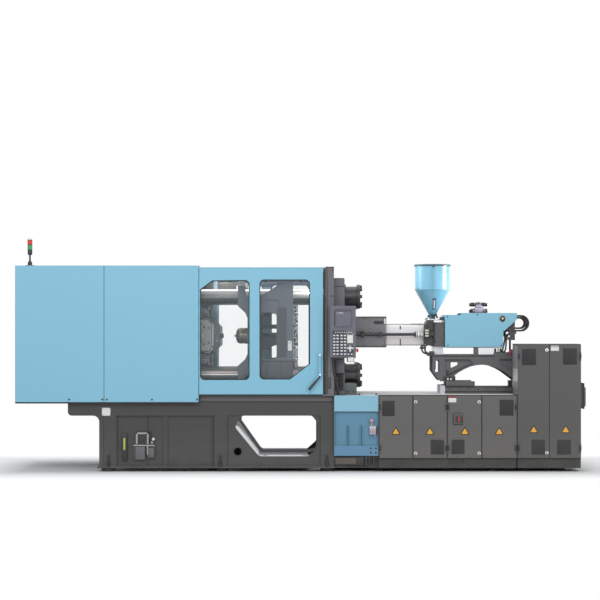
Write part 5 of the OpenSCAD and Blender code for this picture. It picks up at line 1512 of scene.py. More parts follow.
@dataclass
class DoorHardware:
    """Window seals, rollers and handles of the two safety doors."""

    left: float = -1015.0
    foot: float = 775.0
    face: float = -712.0

    def front_windows(self) -> list[list[Flat]]:
        """Give the outlines of the front door's windows.

        Returns:
            An outline for each window.
        """
        first = ((10, 145), (505, 145), (505, 1145), (130, 1140), (10, 1050))
        second = ((605, 150), (910, 150), (1110, 305), (1110, 1150), (605, 1150))
        return [rounded([(self.left + x, self.foot + z) for x, z in corners], radii)
                for corners, radii in ((first, (45, 45, 45, 12, 12)), (second, (45, 12, 12, 45, 45)))]

    def rear_windows(self) -> list[list[Flat]]:
        """Give the outlines of the rear door's windows."""
        return [rounded_box(self.left + x0, self.left + x1, self.foot + 145, self.foot + 1132, 45)
                for x0, x1 in ((127, 611), (698, 1110))]

    def build(self) -> None:
        """Make the hardware of both doors."""
        for name, sign, windows in (("front", 1, self.front_windows()), ("rear", -1, self.rear_windows())):
            seals = Shape(f"{name}_door_seals", RUBBER)
            for outline in windows:
                seals.frame(outline, ring(outline, -8), sign * (self.face - 1.5), sign * (self.face + 3))
                seals.frame(outline, ring(outline, -8), sign * (self.face + 25), sign * (self.face + 29.5))
            seals.place(f"{name}_door", "pad_rubber")
        grip = Shape("front_door_grip", BLACK)
        grip.tube([(194, -748, 962), (84, -748, 822)], 12.6, 14, smooth=0)
        for x, z in ((195, 1170), (195, 970)):
            grip.turned((x, -748, z), Axis.Z, [(0, -13), (9, -11), (13, -4), (13, 4), (9, 11), (0, 13)], 16,
                        CHROME)
        grip.place("front_door", "black_steel")
        handle = Shape("rear_door_handle", BLACK)
        handle.tube([(180, 712, 1150), (180, 752, 1150), (180, 752, 950), (180, 712, 950)], 10, 12)
        handle.place("rear_door", "black_steel")
        for name, y in (("front", -702.0), ("rear", 690.0)):
            rollers = Shape(f"{name}_door_rollers", BRIGHT)
            for x in (-900, -500, -100, 130):
                rollers.rod((x, y, 2041), Axis.Y, 12, 13, 16)
                rollers.box((x - 16, y - 3, 2020), (x + 16, y, 2046), 1, BLACK)
            rollers.place(f"{name}_door", "bright_steel")


@dataclass
class PlatenDetails:
    """Small parts on the moving platen: switch plate, cylinder linkage, painted shadows of the clamp slots
    and grease pipes.
    """

    side: float = -560.0

    def build(self) -> None:
        """Make the parts that ride on the moving platen."""
        y = self.side
        plates = Shape("platen_plates", PLATE_WHITE)
        plates.slab(rounded_box(-127, -87, 1211, 1311, 8), y - 5, y)
        for z in (1288, 1298):
            plates.rod((-116 if z < 1290 else -98, y - 8, z), Axis.Y, 5, 5, 10, BLACK)
        # A dark slab and thin grooves on the platen's side: painted shade in its recess and grooves.
        plates.slab(rounded_box(-236, -141, 1142, 1650, 22), y - 1.4, y, RECESS_PAINTED_SHADE)
        plates.box((-342, y - 1.6, 1718), (-224, y, 1727), 0, GROOVE_AND_PAINTED_SHADE)
        plates.slab([(-224, 1727), (-224, 1716), (-206, 1658), (-196, 1658)], y - 1.6, y, GROOVE_AND_PAINTED_SHADE)
        plates.box((-402, y - 1.6, 1098), (-80, y, 1112), 0, GROOVE_AND_PAINTED_SHADE)
        for x, top in ((-336, 1090), (-200, 1098)):
            plates.box((x - 4, y - 1.6, 930), (x + 4, y, top), 0, GROOVE_AND_PAINTED_SHADE)
        plates.place("moving_platen", "platen_grey")
        slot_shadows = Shape("clamp_slot_shadows", BLACK)
        chance = random.Random(11)
        for _ in range(90):
            x, z = chance.uniform(-76, -32), chance.uniform(990, 1715)
            slot_shadows.box((x, -373, z), (min(x + chance.uniform(5, 20), -25), -371, z + chance.uniform(4, 16)))
        slot_shadows.place("moving_platen", "black_steel")
        linkage = Shape("ejector_linkage", TEAL)
        linkage.box((-393, -118, 1120), (-307, -92, 1600), 4)
        linkage.box((-386, -122, 1560), (-300, -90, 1604), 4, GROOVE_AND_PAINTED_SHADE)
        for z0, z1 in ((1433, 1477), (1350, 1390)):
            linkage.box((-418, -150, z0), (-236, -120, z1), 3, BLACK)
        linkage.slab([(-418, 1232), (-418, 1352), (-352, 1392), (-308, 1352), (-238, 1330), (-238, 1268),
                      (-306, 1246), (-338, 1222)], -150, -125, OIL_DARK)
        for x, z in ((-400, 1455), (-255, 1455), (-400, 1370), (-255, 1370)):
            linkage.rod((x, -158, z), Axis.Y, 10, 11, 6, OILED)
        linkage.place("moving_platen", "dark_steel")
        flange = Shape("ejector_cylinder_parts", BRONZE)
        flange.turned((-664, 0, AXIS_Z), Axis.X, [
            (0, -22), (11, -22), (11, -6), (34, -5), (56, 2), (70, 10), (78, 22), (82, 40), (82, 62),
            (77, 64), (77, 72), (82, 74), (82, 112), (0, 112)], 36)
        for turn in range(6):
            flange.rod((-640, 56 * math.cos(turn * math.pi / 3), AXIS_Z + 56 * math.sin(turn * math.pi / 3)),
                       Axis.X, 20, 8, 6, OILED)
        flange.box((-628, -79, 1372), (-552, -72, 1380), 1, PLATE_WHITE)
        flange.place("moving_platen", "dark_steel")
        pipes = Shape("platen_grease_pipes", COPPER)
        for y0, z0 in ((-300, 1690), (-250, 1660), (250, 1660)):
            pipes.tube([(-236, y0, z0), (-262, y0, z0), (-262, y0, z0 + 60), (-240, y0, z0 + 130)], 4, 8)
        pipes.place("moving_platen", "dark_steel")


@dataclass
class ToggleDetails:
    """The plates, valves and pipes on the crosshead, seen through the front door's left window."""

    near: float = -292.0

    def build(self) -> None:
        """Make the parts that ride on the crosshead."""
        y = self.near
        plates = Shape("crosshead_plates", LINK_CASTING)
        plates.slab([(-1028, 1200), (-925, 1200), (-905, 1235), (-905, 1490), (-940, 1535), (-1028, 1535)],
                    y - 26, y - 4)
        plates.slab([(-1028, 1210), (-934, 1210), (-914, 1240), (-914, 1480), (-946, 1522), (-1028, 1522)],
                    y - 30, y - 25, PLATE_GREY)
        # Two white strips along the plate's right edge and lower corner: a painted highlight.
        plates.slab([(-908, 1246), (-890, 1262), (-890, 1478), (-908, 1494)], y - 24, y - 2, KEY_WHITE)
        plates.slab([(-945, 1192), (-934, 1182), (-892, 1232), (-904, 1246)], y - 24, y - 2, KEY_WHITE)
        plates.slab([(-884, 1182), (-858, 1182), (-826, 1258), (-826, 1462), (-858, 1526), (-884, 1526)],
                    y - 16, y - 2)
        for z in (1230, 1310, 1400, 1480):
            plates.rod((-858, y - 24, z), Axis.Y, 10, 7, 10, BLACK if z != 1310 else PLATE_WHITE)
        for x, z, size in ((-1000, 1365, 17), (-985, 1450, 9), (-985, 1275, 9), (-935, 1440, 8),
                           (-935, 1290, 8)):
            plates.rod((x, y - 42, z), Axis.Y, 14, size, 20, BRIGHT if size > 10 else BLACK)
        for z in (1245, 1300, 1415, 1475):
            plates.box((-1024, y - 32, z), (-1000, y - 29, z + 6), 0, BLACK)
        plates.place("crosshead", "platen_grey")
        blocks = Shape("crosshead_valves", OIL_DARK)
        for low in (False, True):
            def lift(z0: float, z1: float, below: bool = low) -> Flat:
                """Mirror a height below the axis where that is asked."""
                return (2 * AXIS_Z - z1, 2 * AXIS_Z - z0) if below else (z0, z1)
            for x0, x1, z0, z1, front, finish in (
                    (-1030, -925, 1542, 1676, -282, None), (-1018, -955, 1560, 1650, -300, DARK_PAINT),
                    (-922, -895, 1540, 1668, -268, None), (-950, -915, 1600, 1672, -292, GROOVE_AND_PAINTED_SHADE),
                    (-1026, -1012, 1545, 1672, -306, PLATE_GREY), (-980, -940, 1538, 1556, -304, OILED),
                    (-946, -938, 1560, 1640, -300, PLATE_GREY), (-908, -902, 1550, 1660, -276, PLATE_GREY)):
                bottom, top = lift(z0, z1)
                blocks.box((x0, front, bottom), (x1, front + 60, top), 3, finish)
            centre = lift(1618, 1618)[0]
            blocks.turned((-986, -312, centre), Axis.Y, [(14, 0), (22, 4), (22, 14), (0, 14)], 20, PLATE_GREY)
            blocks.turned((-986, -313.5, centre), Axis.Y, [(0, 0), (11, 0), (11, 3)], 16, BLACK)
            for k in range(4):
                start = lift(1556 + 22 * k, 1556 + 22 * k)[0]
                blocks.tube([(-1010 + 14 * k, -306, start), (-960 + 8 * k, -314, start),
                             (-940 + 8 * k, -300, lift(1660, 1660)[0])], 3.5, 8, PLATE_GREY)
        blocks.place("crosshead", "dark_steel")


@dataclass
class BedDetails:
    """What is fixed to the front of the clamp bed."""

    face: float = BED_FACE

    def build(self) -> None:
        """Make the plate, the lubrication unit's parts, the jack bolts and the chute's flange."""
        y = self.face
        plate = Shape("bed_plate", PLATE_WHITE)
        plate.box((-1992, y - 3, 560), (-1907, y, 640), 1)
        for x in (-1985, -1914):
            for z in (567, 633):
                plate.rod((x, y - 4.5, z), Axis.Y, 3, 3.5, 8, OILED)
        plate.place("root", "bed_grey")
        self.lubrication()
        jacks = Shape("jack_bolts", BLACK)
        for x in (-1925, -805, 265):
            jacks.rod((x, y - 12, 36), Axis.Z, 128, 9, 12)
            for z in (56, 86):
                jacks.turned((x, y - 12, z), Axis.Z, [(16, 0), (17, 3), (17, 18), (16, 21)], 6)
        jacks.mirrored().place("root", "black_steel")
        # A dark band round the near rim of the chute opening: painted shade.
        rim = Shape("opening_rim_painted_shade", RECESS_PAINTED_SHADE)
        rim.slab([(-632, 552), (-632, 524), (-420, 212), (-398, 190), (92, 190), (150, 214), (168, 250),
                  (168, 552), (156, 552), (156, 262), (142, 236), (80, 224), (-372, 224), (-392, 236),
                  (-590, 516), (-590, 552)], y + 14, y + 22)
        rim.place("root", "bed_grey")
        lines = Shape("bed_lines", GROOVE_AND_PAINTED_SHADE)
        lines.box((-1005, y - 2, 696), (330, y + 1, 704))
        lines.box((-1005, y - 2, 707), (322, y + 1, 748), 0, RAIL_LOWER)
        for x, z0, z1 in ((-875, 36, 556), (-735, 36, 556), (199, 36, 560), (-1535, 60, 560),
                          (-1975, 60, 560)):
            lines.box((x - 3, y - 1.5, z0), (x + 3, y + 1, z1))
        lines.place("root", "bed_grey")
        flange = Shape("chute_flange", GALVANISED)
        flange.slab([(-668, 438), (-660, 452), (-640, 462), (-624, 452), (-416, 178), (-428, 168),
                     (-446, 164), (-462, 166)], y + 24, y + 28)
        flange.box((-335, y + 22, 152), (25, y + 27, 166))
        for x0, x1 in ((-412, -368), (78, 124)):
            flange.box((x0, y + 22, 154), (x1, y + 27, 164))
        flange.place("root", "galvanised")
        hole = Shape("lifting_hole_liner", BLACK)
        hole.frame(circle(-630, 200, 46), circle(-630, 200, 37), y + 7, y + 12)
        hole.mirrored().place("root", "black_steel")

    def lubrication(self) -> None:
        """Make the frame, pipes, knobs and oil gauge of the lubrication unit."""
        y = self.face
        unit = Shape("lubrication_frame", PLATE_GREY)
        for x0, x1, z0, z1 in ((-1650, -1524, 376, 392), (-1650, -1634, 276, 392), (-1540, -1524, 276, 392),
                               (-1676, -1462, 256, 268), (-1542, -1530, 168, 262)):
            unit.box((x0, y - 8, z0), (x1, y + 4, z1), 2)
        unit.box((-1634, y - 2, 270), (-1540, y + 2, 376), 0, BLACK)
        unit.box((-1622, y - 4, 286), (-1556, y - 1, 350), 1, GROOVE_AND_PAINTED_SHADE)
        unit.box((-1655, y - 6, 120), (-1560, y + 6, 250), 4, SUMP_GREY)
        unit.box((-1528, y - 6, 140), (-1472, y + 6, 236), 3, SUMP_GREY)
        unit.turned((-1476, y - 12, 325), Axis.Y, [(10, 0), (15, 3), (15, 14), (0, 14)], 18, KEY_WHITE)
        unit.turned((-1490, y - 12, 290), Axis.Y, [(8, 0), (12, 3), (12, 14), (0, 14)], 18, PLATE_GREY)
        unit.tube([(-1500, y, 262), (-1505, y - 4, 300), (-1510, y - 2, 380), (-1505, y + 16, 400)], 5, 8,
                  BLACK)
        unit.place("root", "unit_metal")
        gauge = Shape("oil_level_gauge", BLACK)
        gauge.box((-1792, y - 4, 112), (-1742, y + 20, 385), 3)
        gauge.box((-1776, y - 7, 218), (-1758, y - 3, 340), 2, OIL_GLASS_PAINTED_GLOW)
        for z in (206, 346):
            gauge.rod((-1767, y - 10, z), Axis.Y, 8, 12, 6, OILED)
        gauge.place("root", "unit_metal")


@dataclass
class NozzleArea:
    """Parts on the nozzle guard, the pull rods and the barrel cover."""

    rod_y: float = -195.0
    rod_z: float = 1375.0

    def build(self) -> None:
        """Make the parts of each body."""
        guard = Shape("nozzle_guard_parts", BLACK)
        for low, high in ((1241, 1262), (1538, 1559)):
            guard.box((470, -168, low), (885, -165.5, high), 0, NOZZLE_GREY)
            guard.box((470, -168, low if low < 1400 else 1550), (885, 168, 1250 if low < 1400 else high), 0,
                      NOZZLE_GREY)
        guard.box((875, -168, 1241), (885, -165.5, 1559), 0, NOZZLE_GREY)
        # A black plate behind the guard's slot: painted shade inside the slot.
        guard.box((748, -161.5, 1472), (864, -158, 1524), 1)
        guard.turned((721, -172, 1415), Axis.Y, [(15, 0), (15, 7), (9, 7)], 20)
        guard.turned((721, -173, 1415), Axis.Y, [(0, 0), (8, 0), (8, 7)], 16, PLATE_WHITE)
        for z in (1262, 1538):
            for x in (476, 660, 850):
                guard.rod((x, -168, z), Axis.Y, 4, 6, 10)
        guard.place("nozzle_guard", "black_steel")
        stops = Shape("pull_rod_parts", BLACK)
        stops.box((626, self.rod_y - 22, 1342), (652, self.rod_y - 12, 1412), 3)
        stops.box((612, self.rod_y - 24, 1386), (664, self.rod_y - 12, 1406), 3)
        for k in range(7):
            stops.rod((1172 + 14 * k, self.rod_y, self.rod_z), Axis.X, 13, 22 - 3 * (k % 3), 6 + 10 * (k % 2),
                      BLACK if k % 3 == 0 else BRIGHT)
        stops.mirrored().place("root", "black_steel")
        seam = Shape("barrel_cover_seams", BLACK)
        for z0, z1 in ((1258, 1330), (1425, 1462)):
            seam.box((1026, -113.5, z0), (1038, -110, z1))
        for z, depth in ((1480, 95), (1261, 95)):
            seam.box((872, -depth, z - 1), (1272, -depth + 22, z + 2))
        seam.box((1150, -70, 1480), (1272, 70, 1486), 1)
        seam.place("carriage", "black_steel")
        # A darker band on the lower front of the barrel cover: painted shade on the sheet's lower part.
        lower_shade = Shape("barrel_cover_painted_shade", SHEET_SHADE)
        lower_shade.box((874, -112.5, 1278), (1272, -110.2, 1352))
        lower_shade.place("carriage", "bright_steel")


@dataclass
class FeedArea:
    """Gland blocks, water pipes and clamps round the feed housing, and the hopper's fittings."""

    centre: float = 1370.0
    radius: float = 180.0
    throat: float = 1560.0
    throat_radius: float = 27.0
    cone_top: float = 1836.0
    sight_x: float = 14.0
    sight_gap: float = 5.0

    def build(self) -> None:
        """Make the parts, all of which ride on the carriage."""
        glands = Shape("feed_terminals", CREAM)
        for z in (1350, 1377, 1404):
            glands.box((1280, -236, z + 1), (1316, -212, z + 20), 3)
        for z in (1371, 1398):
            glands.box((1282, -234, z), (1318, -212, z + 7), 0, BLACK)
        glands.box((1270, -226, 1338), (1330, -206, 1438), 4, BLACK)
        for x, size in ((1176, 32), (1196, 31), (1226, 32), (1246, 31), (1262, 32)):
            glands.rod((x, -195, 1375), Axis.X, 7, size, 24, BLACK)
        glands.place("carriage", "unit_metal")
        pipes = Shape("feed_water_pipes", OILED)
        for y, x0 in ((-212, 1252), (-190, 1284)):
            pipes.tube([(x0 + 30, y, 1268), (x0, y, 1262), (x0 - 6, y, 1205), (x0 + 26, y, 1178),
                        (x0 + 72, y, 1172)], 9, 12)
            for z in (1225, 1250):
                pipes.rod((x0 - 4, y, z), Axis.Z, 14, 14, 6, BLACK)
        pipes.box((1322, -226, 1158), (1378, -176, 1202), 4)
        pipes.rod((1226, -214, 1236), Axis.X, 44, 11, 10, BLACK)
        pipes.place("carriage", "unit_metal")
        housing = Shape("feed_covers", OIL_DARK)
        housing.box((1374, -218, 1282), (1383, -180, 1496), 1, GROOVE_AND_PAINTED_SHADE)
        housing.box((1476, -217, 1242), (1486, -200, 1526), 1, BLACK)
        housing.box((1440, -150, 1522), (1482, -60, 1556), 4, SLATE_BLUE)
        for x, z in ((1392, 1300), (1458, 1300), (1392, 1480), (1458, 1480)):
            housing.rod((x, -220, z), Axis.Y, 6, 8, 6)
        housing.place("carriage", "carriage_grey")
        self.clamps()
        self.hopper()

    def clamps(self) -> None:
        """Make the slide plate and its knobs at the hopper's foot."""
        clamps = Shape("hopper_clamps", BLACK)
        clamps.box((1298, -85, 1521), (1466, -80, 1534), 1, BRIGHT)
        for x, z, size in ((1326, 1562, 13), (1362, 1572, 15), (1374, 1548, 12), (1402, 1574, 15),
                           (1414, 1552, 11)):
            clamps.turned((x, -78, z), Axis.Y, [(size - 3, -16), (size, -12), (size, 4), (6, 6), (6, 40)], 14)
        clamps.tube([(1318, -92, 1535), (1300, -92, 1545), (1296, -92, 1524)], 5, 8)
        clamps.place("carriage", "black_steel")

    def hopper(self) -> None:
        """Make the hopper's rim, seam, sight glass and lid catch."""
        rim = Shape("hopper_rim", BLACK)
        rim.turned((self.centre, 0, 2086), Axis.Z,
                   [(self.radius, -6), (189.5, -4), (189.5, 12), (self.radius, 14)], 72, RIM_TEAL)
        rim.turned((self.centre, 0, self.cone_top - 5), Axis.Z, [(180, 0), (181.6, 1), (181.6, 7), (180, 8)],
                   72, COVER_SHADE)
        rim.box((self.centre - 14, -193, 2070), (self.centre + 14, -182, 2098), 2, RIM_TEAL)
        rim.place("carriage", "black_steel")
        glass = Shape("hopper_sight_glass", SIGHT_LIGHT)
        low, high = self.on_cone(1640), self.on_cone(1732)
        glass.beam(low, high, 15, 6)
        for x in (-11.5, 11.5):
            glass.beam((low[0] + x, low[1] - 2, low[2]), (high[0] + x, high[1] - 2, high[2]), 5, 8,
                       SLATE_BLUE)
        glass.beam(self.on_cone(1730), self.on_cone(1744), 38, 18, BLACK)
        glass.beam(self.on_cone(1630), self.on_cone(1642), 30, 12, SLATE_BLUE)
        glass.place("carriage", "bright_steel")

    def on_cone(self, height: float) -> Point:
        """Give a point just off the front of the hopper's cone.

        Args:
            height: The point's height.

        Returns:
            The point.
        """
        share = (height - self.throat) / (self.cone_top - self.throat)
        radius = self.throat_radius + (self.radius - self.throat_radius) * share
        return (self.centre + self.sight_x, -radius - self.sight_gap, height)


@dataclass
class CowlDetails:
    """Gauge, valves and tail fittings of the injection unit's cowl."""

    face: float = -215.0

    def build(self) -> None:
        """Make the parts, all of which ride on the carriage."""
        y = self.face
        eye = Shape("cowl_eye", BRONZE)
        eye.turned((2077, y - 6, 1536), Axis.Y, [(31, 0), (34, 3), (34, 7), (0, 7)], 28)
        eye.turned((2077, y - 8, 1536), Axis.Y, [(0, 0), (23, 0), (23, 3)], 24, BLACK)
        eye.slab([(2077, 1502), (2103, 1536), (2077, 1570), (2051, 1536)], y - 8, y - 5, BLACK)
        eye.turned((2077, y - 10, 1538), Axis.Y, [(0, 0), (11, 0), (11, 5)], 18, PLATE_WHITE)
        for x, z in ((1511, 1556), (1516, 1262), (1820, 1578), (2068, 1262)):
            eye.rod((x, y - 4, z), Axis.Y, 5, 7, 10, BLACK)
        # A black strip under the cowl's lower edge: a painted shadow.
        eye.box((1486, y - 1.5, 1238), (2084, y + 4, 1245), 0, BLACK)
        eye.place("carriage", "unit_metal")
        stack = Shape("valve_stack_parts", BRIGHT)
        stack.box((1803, -58, 1600), (1898, 58, 1652), 6, LILAC)
        stack.box((1816, -48, 1650), (1888, 48, 1678), 8, LILAC)
        stack.box((1826, -44, 1676), (1868, 44, 1712), 5, PLATE_GREY)
        stack.box((1833, -46, 1686), (1861, 46, 1702), 2, BLACK)
        for side in (-24, 24):
            for x, length, size in ((1776, 28, 21), (1806, 16, 15), (1884, 30, 21), (1868, 14, 15)):
                stack.rod((x, side, 1685), Axis.X, length, size, 20, BLACK if size > 16 else LILAC)
            stack.rod((1756, side, 1685), Axis.X, 20, 11, 16, OILED)
            stack.rod((1914, side, 1685), Axis.X, 26, 11, 16, OILED)
        for x, size in ((1762, 20), (1786, 14), (1904, 14), (1918, 20)):
            stack.rod((x, -46, 1620), Axis.X, 18, size, 14, BLACK if size > 16 else PLATE_GREY)
        for x in (1786, 1808, 1890, 1912):
            stack.rod((x, -58, 1618), Axis.Y, 8, 8, 6, BLACK)
        stack.place("carriage", "valve_grey")
        self.tail()

    def tail(self) -> None:
        """Make the fittings on the cowl's slanted tail and the pipes down to the carriage."""
        tail = Shape("tail_fittings", BLACK)
        for x, z, length, size in ((2100, 1392, 34, 17), (2118, 1432, 44, 19), (2148, 1462, 46, 20),
                                   (2172, 1494, 34, 18), (2172, 1424, 40, 21), (2140, 1376, 42, 16)):
            tail.rod((x, -128, z), Axis.X, length, size, 6)
            tail.rod((x + length / 2, -158, z - 6), Axis.Y, 40, size * 0.7, 12, OIL_DARK)
        tail.box((2108, -122, 1352), (2160, 122, 1470), 6, OIL_DARK)
        tail.turned((2128, -168, 1389), Axis.Y, [(10, 0), (16, 3), (16, 12), (0, 12)], 18, BRIGHT)
        tail.turned((2148, -166, 1356), Axis.Y, [(8, 0), (12, 3), (12, 12), (0, 12)], 16, BRIGHT)
        for k, (x, z) in enumerate(((2110, 1372), (2126, 1352))):
            tail.tube([(x, -140, z), (x - 4, -150, z - 70), (x - 26 + 14 * k, -168, 1216),
                       (x - 30, -176, 1190)], 9, 10)
        for x in (2006, 2036, 2062):
            tail.rod((x, -178, 1186), Axis.Z, 46, 11, 6, BLACK if x != 2036 else PLATE_WHITE)
        tail.box((1996, -196, 1178), (2078, -150, 1196), 3, OIL_DARK)
        for y in TailHoses.places:
            for z in (1567, 1411):
                tail.rod((2206, y, z - 16), Axis.X, 26, 15, 6, OILED)
        tail.place("carriage", "dark_steel")
        valve = Shape("tail_valve", WINE_RED)
        valve.turned((2172, -246, 1190), Axis.Y, [(14, 0), (30, 3), (33, 8), (30, 13), (8, 14), (8, 44)], 24)
        for k in range(3):
            turn = math.tau * k / 3
            valve.beam((2172 - 40 * math.cos(turn), -240, 1190 - 40 * math.sin(turn)),
                       (2172 + 40 * math.cos(turn), -240, 1190 + 40 * math.sin(turn)), 9, 8)
        valve.rod((2214, -226, 1160), Axis.Y, 20, 13, 14)
        valve.box((2146, -236, 1164), (2222, -206, 1212), 4, BLACK)
        valve.place("carriage", "carriage_grey")


@dataclass
class CarriageDetails:
    """Ribs and adjusters on the carriage, strips on its rails and fittings on the deck."""

    side: float = -240.0

    def build(self) -> None:
        """Make the parts on both sides of the carriage."""
        y = self.side
        ribs = Shape("carriage_ribs", CARRIAGE_GREY)
        ribs.beam((1418, y - 2, 1006), (1418, y - 2, 1112), 14, 6, GROOVE_AND_PAINTED_SHADE)
        ribs.beam((1480, y - 3, 1112), (1742, y - 3, 1112), 12, 8, GROOVE_AND_PAINTED_SHADE)
        ribs.beam((1742, y - 3, 1112), (1768, y - 3, 1078), 10, 8, GROOVE_AND_PAINTED_SHADE)
        ribs.beam((1768, y - 3, 1078), (1530, y - 3, 966), 10, 8, GROOVE_AND_PAINTED_SHADE)
        ribs.beam((1330, y - 3, 1152), (1990, y - 3, 1152), 10, 6, GROOVE_AND_PAINTED_SHADE)
        ribs.beam((2046, y - 3, 1118), (2280, y - 3, 1118), 10, 8, GROOVE_AND_PAINTED_SHADE)
        for x, z in ((1352, 1160), (1470, 1160), (2130, 1174), (2230, 1174)):
            ribs.rod((x, y - 6, z), Axis.Y, 8, 8, 6, BLACK)
        ribs.mirrored().place("carriage", "carriage_grey")
        feet = Shape("carriage_adjusters", BLACK)
        feet.box((1470, y - 14, 905), (1590, y - 2, 948), 4)
        feet.box((1500, y - 12, 948), (1522, y - 2, 1010), 3)
        for x in (1512, 1545):
            feet.rod((x, y - 24, 916), Axis.Y, 12, 11, 6, KEY_WHITE)
        feet.rod((1528, y - 26, 912), Axis.Y, 12, 5, 10)
        feet.box((1484, y - 5, 836), (1778, y - 1, 850), 0, GROOVE_AND_PAINTED_SHADE)
        feet.mirrored().place("carriage", "black_steel")
        rails = Shape("rail_strips", GROOVE_AND_PAINTED_SHADE)
        for z in (834, 792):
            rails.box((1486, y - 2.5, z - 6), (2670, y - 0.5, z), 0)
        for k in range(12):
            rails.rod((1530 + 98 * k, y - 3.5, 812), Axis.Y, 5, 7, 12, BLACK)
        rails.mirrored().place("root", "rail_steel")
        deck = Shape("deck_fittings", BLACK)
        for x in (592, 765):
            deck.rod((x, -560, 765), Axis.Z, 15, 11, 10)
        deck.place("root", "black_steel")


@dataclass
class CabinetDetails:
    """Vents, signs, plates, seals and switch parts on the cabinet doors."""

    face: float = DOOR_FACE
    edges: tuple[float, ...] = (785.0, 1125.0, 1470.0, 1815.0, 2170.0)
    vents: tuple[tuple[int, float, float, float, float], ...] = (
        (1, 818, 942, 558, 712), (2, 1303, 1437, 173, 322), (3, 1513, 1642, 178, 322),
        (4, 1993, 2132, 563, 722), (5, 2218, 2357, 1068, 1232), (5, 2313, 2447, 173, 322),
        (6, 2628, 2767, 1073, 1237), (6, 2568, 2707, 173, 322))
    signs: tuple[tuple[int, float, float], ...] = (
        (1, 955, 370), (2, 1295, 370), (3, 1645, 370), (4, 1990, 370), (5, 2335, 388), (6, 2655, 388))
    latches: tuple[tuple[int, float, float], ...] = (
        (1, 1152, 185), (2, 1152, 700), (3, 1788, 185), (4, 1788, 700), (5, 2465.5, 190), (6, 2465.5, 1220))

    def build(self) -> None:
        """Make the parts of each door and those on the frame."""
        y = self.face
        for k, (door, x0, x1, z0, z1) in enumerate(self.vents, 1):
            # A dark plate behind each vent's blades, painted shade for the openings.
            vent = Shape(f"vent_painted_shade_{k}", VENT_PAINTED_SHADE)
            vent.box((x0, y - 1.6, z0), (x1, y + 1, z1), 0.8)
            vent.place(f"cabinet_door_{door}", "cabinet_grey")
            rows = [z0 + 12 + 14 * step for step in range(int((z1 - z0 - 16) // 14) + 1)]
            Repeat(f"vent_blades_{k}", Unit.STRIP, VENT_BLADE, (x1 - x0 - 14, 5, 4), Axis.Y, True).place(
                [((x0 + x1) / 2, y - 1.6, z) for z in rows], f"cabinet_door_{door}", "cabinet_grey")
        for k, (door, x, z) in enumerate(self.signs, 1):
            sign = Shape(f"blank_sign_{k}", SIGN_RIM)
            corners = [(x - 48, z), (x + 48, z), (x, z + 86)]
            sign.slab(rounded(corners, (7, 7, 7), 3), y - 1.2, y)
            sign.slab(rounded([(x - 33, z + 9), (x + 33, z + 9), (x, z + 67)], (4, 4, 4), 3), y - 1.8,
                      y - 1.1, SIGN_AMBER)
            sign.place(f"cabinet_door_{door}", "cabinet_grey")
        for name, door, x0, x1, z0, z1 in (("low", 3, 1480, 1560, 695, 759),
                                           ("high", 6, 2505, 2588, 1211, 1266)):
            plate = Shape(f"blank_plate_{name}", PLATE_WHITE)
            plate.box((x0, y - 1.5, z0), (x1, y, z1), 0.6)
            plate.box((x0, y - 1.9, z1 - 20), (x1, y - 1.4, z1), 0.2,
                      WINE_RED if name == "low" else PLATE_GREY)
            plate.place(f"cabinet_door_{door}", "cabinet_grey")
        self.seals()
        self.switches()

    def seals(self) -> None:
        """Make the dark seals between the doors and the sleeves of their hinges."""
        y = self.face
        seals = Shape("cabinet_seals", RUBBER)
        for x in self.edges:
            seals.box((x - 6, y - 0.6, 138), (x + 6, y + 16, 768))
            seals.box((x - 5, y - 2.2, 142), (x + 5, y, 764), 1)
        seals.box((2488.5, y - 0.6, 138), (2496.5, y + 16, 1270))
        seals.box((782, y - 0.6, 763), (2172, y + 16, 771))
        seals.box((782, y + 10, 130), (2810, y + 16, 138))
        for x in self.edges[1:4]:
            seals.rod((x, y - 3, 450), Axis.Y, 4, 7, 10)
        seals.place("root", "pad_rubber")
        sides = {1: 793.5, 2: 1461.5, 3: 1478.5, 4: 2156.5, 5: 2183.5, 6: 2801.5}
        for door, x in sides.items():
            tops = (238, 1157) if door > 4 else (238, 648)
            sleeves = Shape(f"hinge_sleeves_{door}", BLACK)
            for z in tops:
                sleeves.rod((x, y - 8, z - 28), Axis.Z, 56, 8.5, 14)
                sleeves.box((x - 12, y - 4.6, z - 20), (x + 12, y, z + 20), 1.5)
            sleeves.place(f"cabinet_door_{door}", "black_steel")

    def switches(self) -> None:
        """Make the main switch's plate and the keyholes of the latches."""
        y = self.face
        plate = Shape("main_switch_plate", DARK_PAINT)
        plate.box((1525, y - 5, 468), (1625, y, 592), 2, BLACK)
        plate.box((1534, y - 7, 477), (1616, y - 4, 583), 1, PLATE_DARK)
        plate.turned((1585, y - 11, 530), Axis.Y, [(34, 0), (36, 2), (36, 8)], 28, BLACK)
        plate.place("cabinet_door_3", "black_steel")
        for k, x, z in self.latches:
            keyhole = Shape(f"keyhole_{k}", BLACK)
            keyhole.rod((x, y - 19.4, z), Axis.Y, 3, 6, 12)
            keyhole.box((x - 4, y - 19.2, z - 14), (x + 4, y - 17, z - 4), 0)
            keyhole.place(f"latch_{k}", "black_steel")


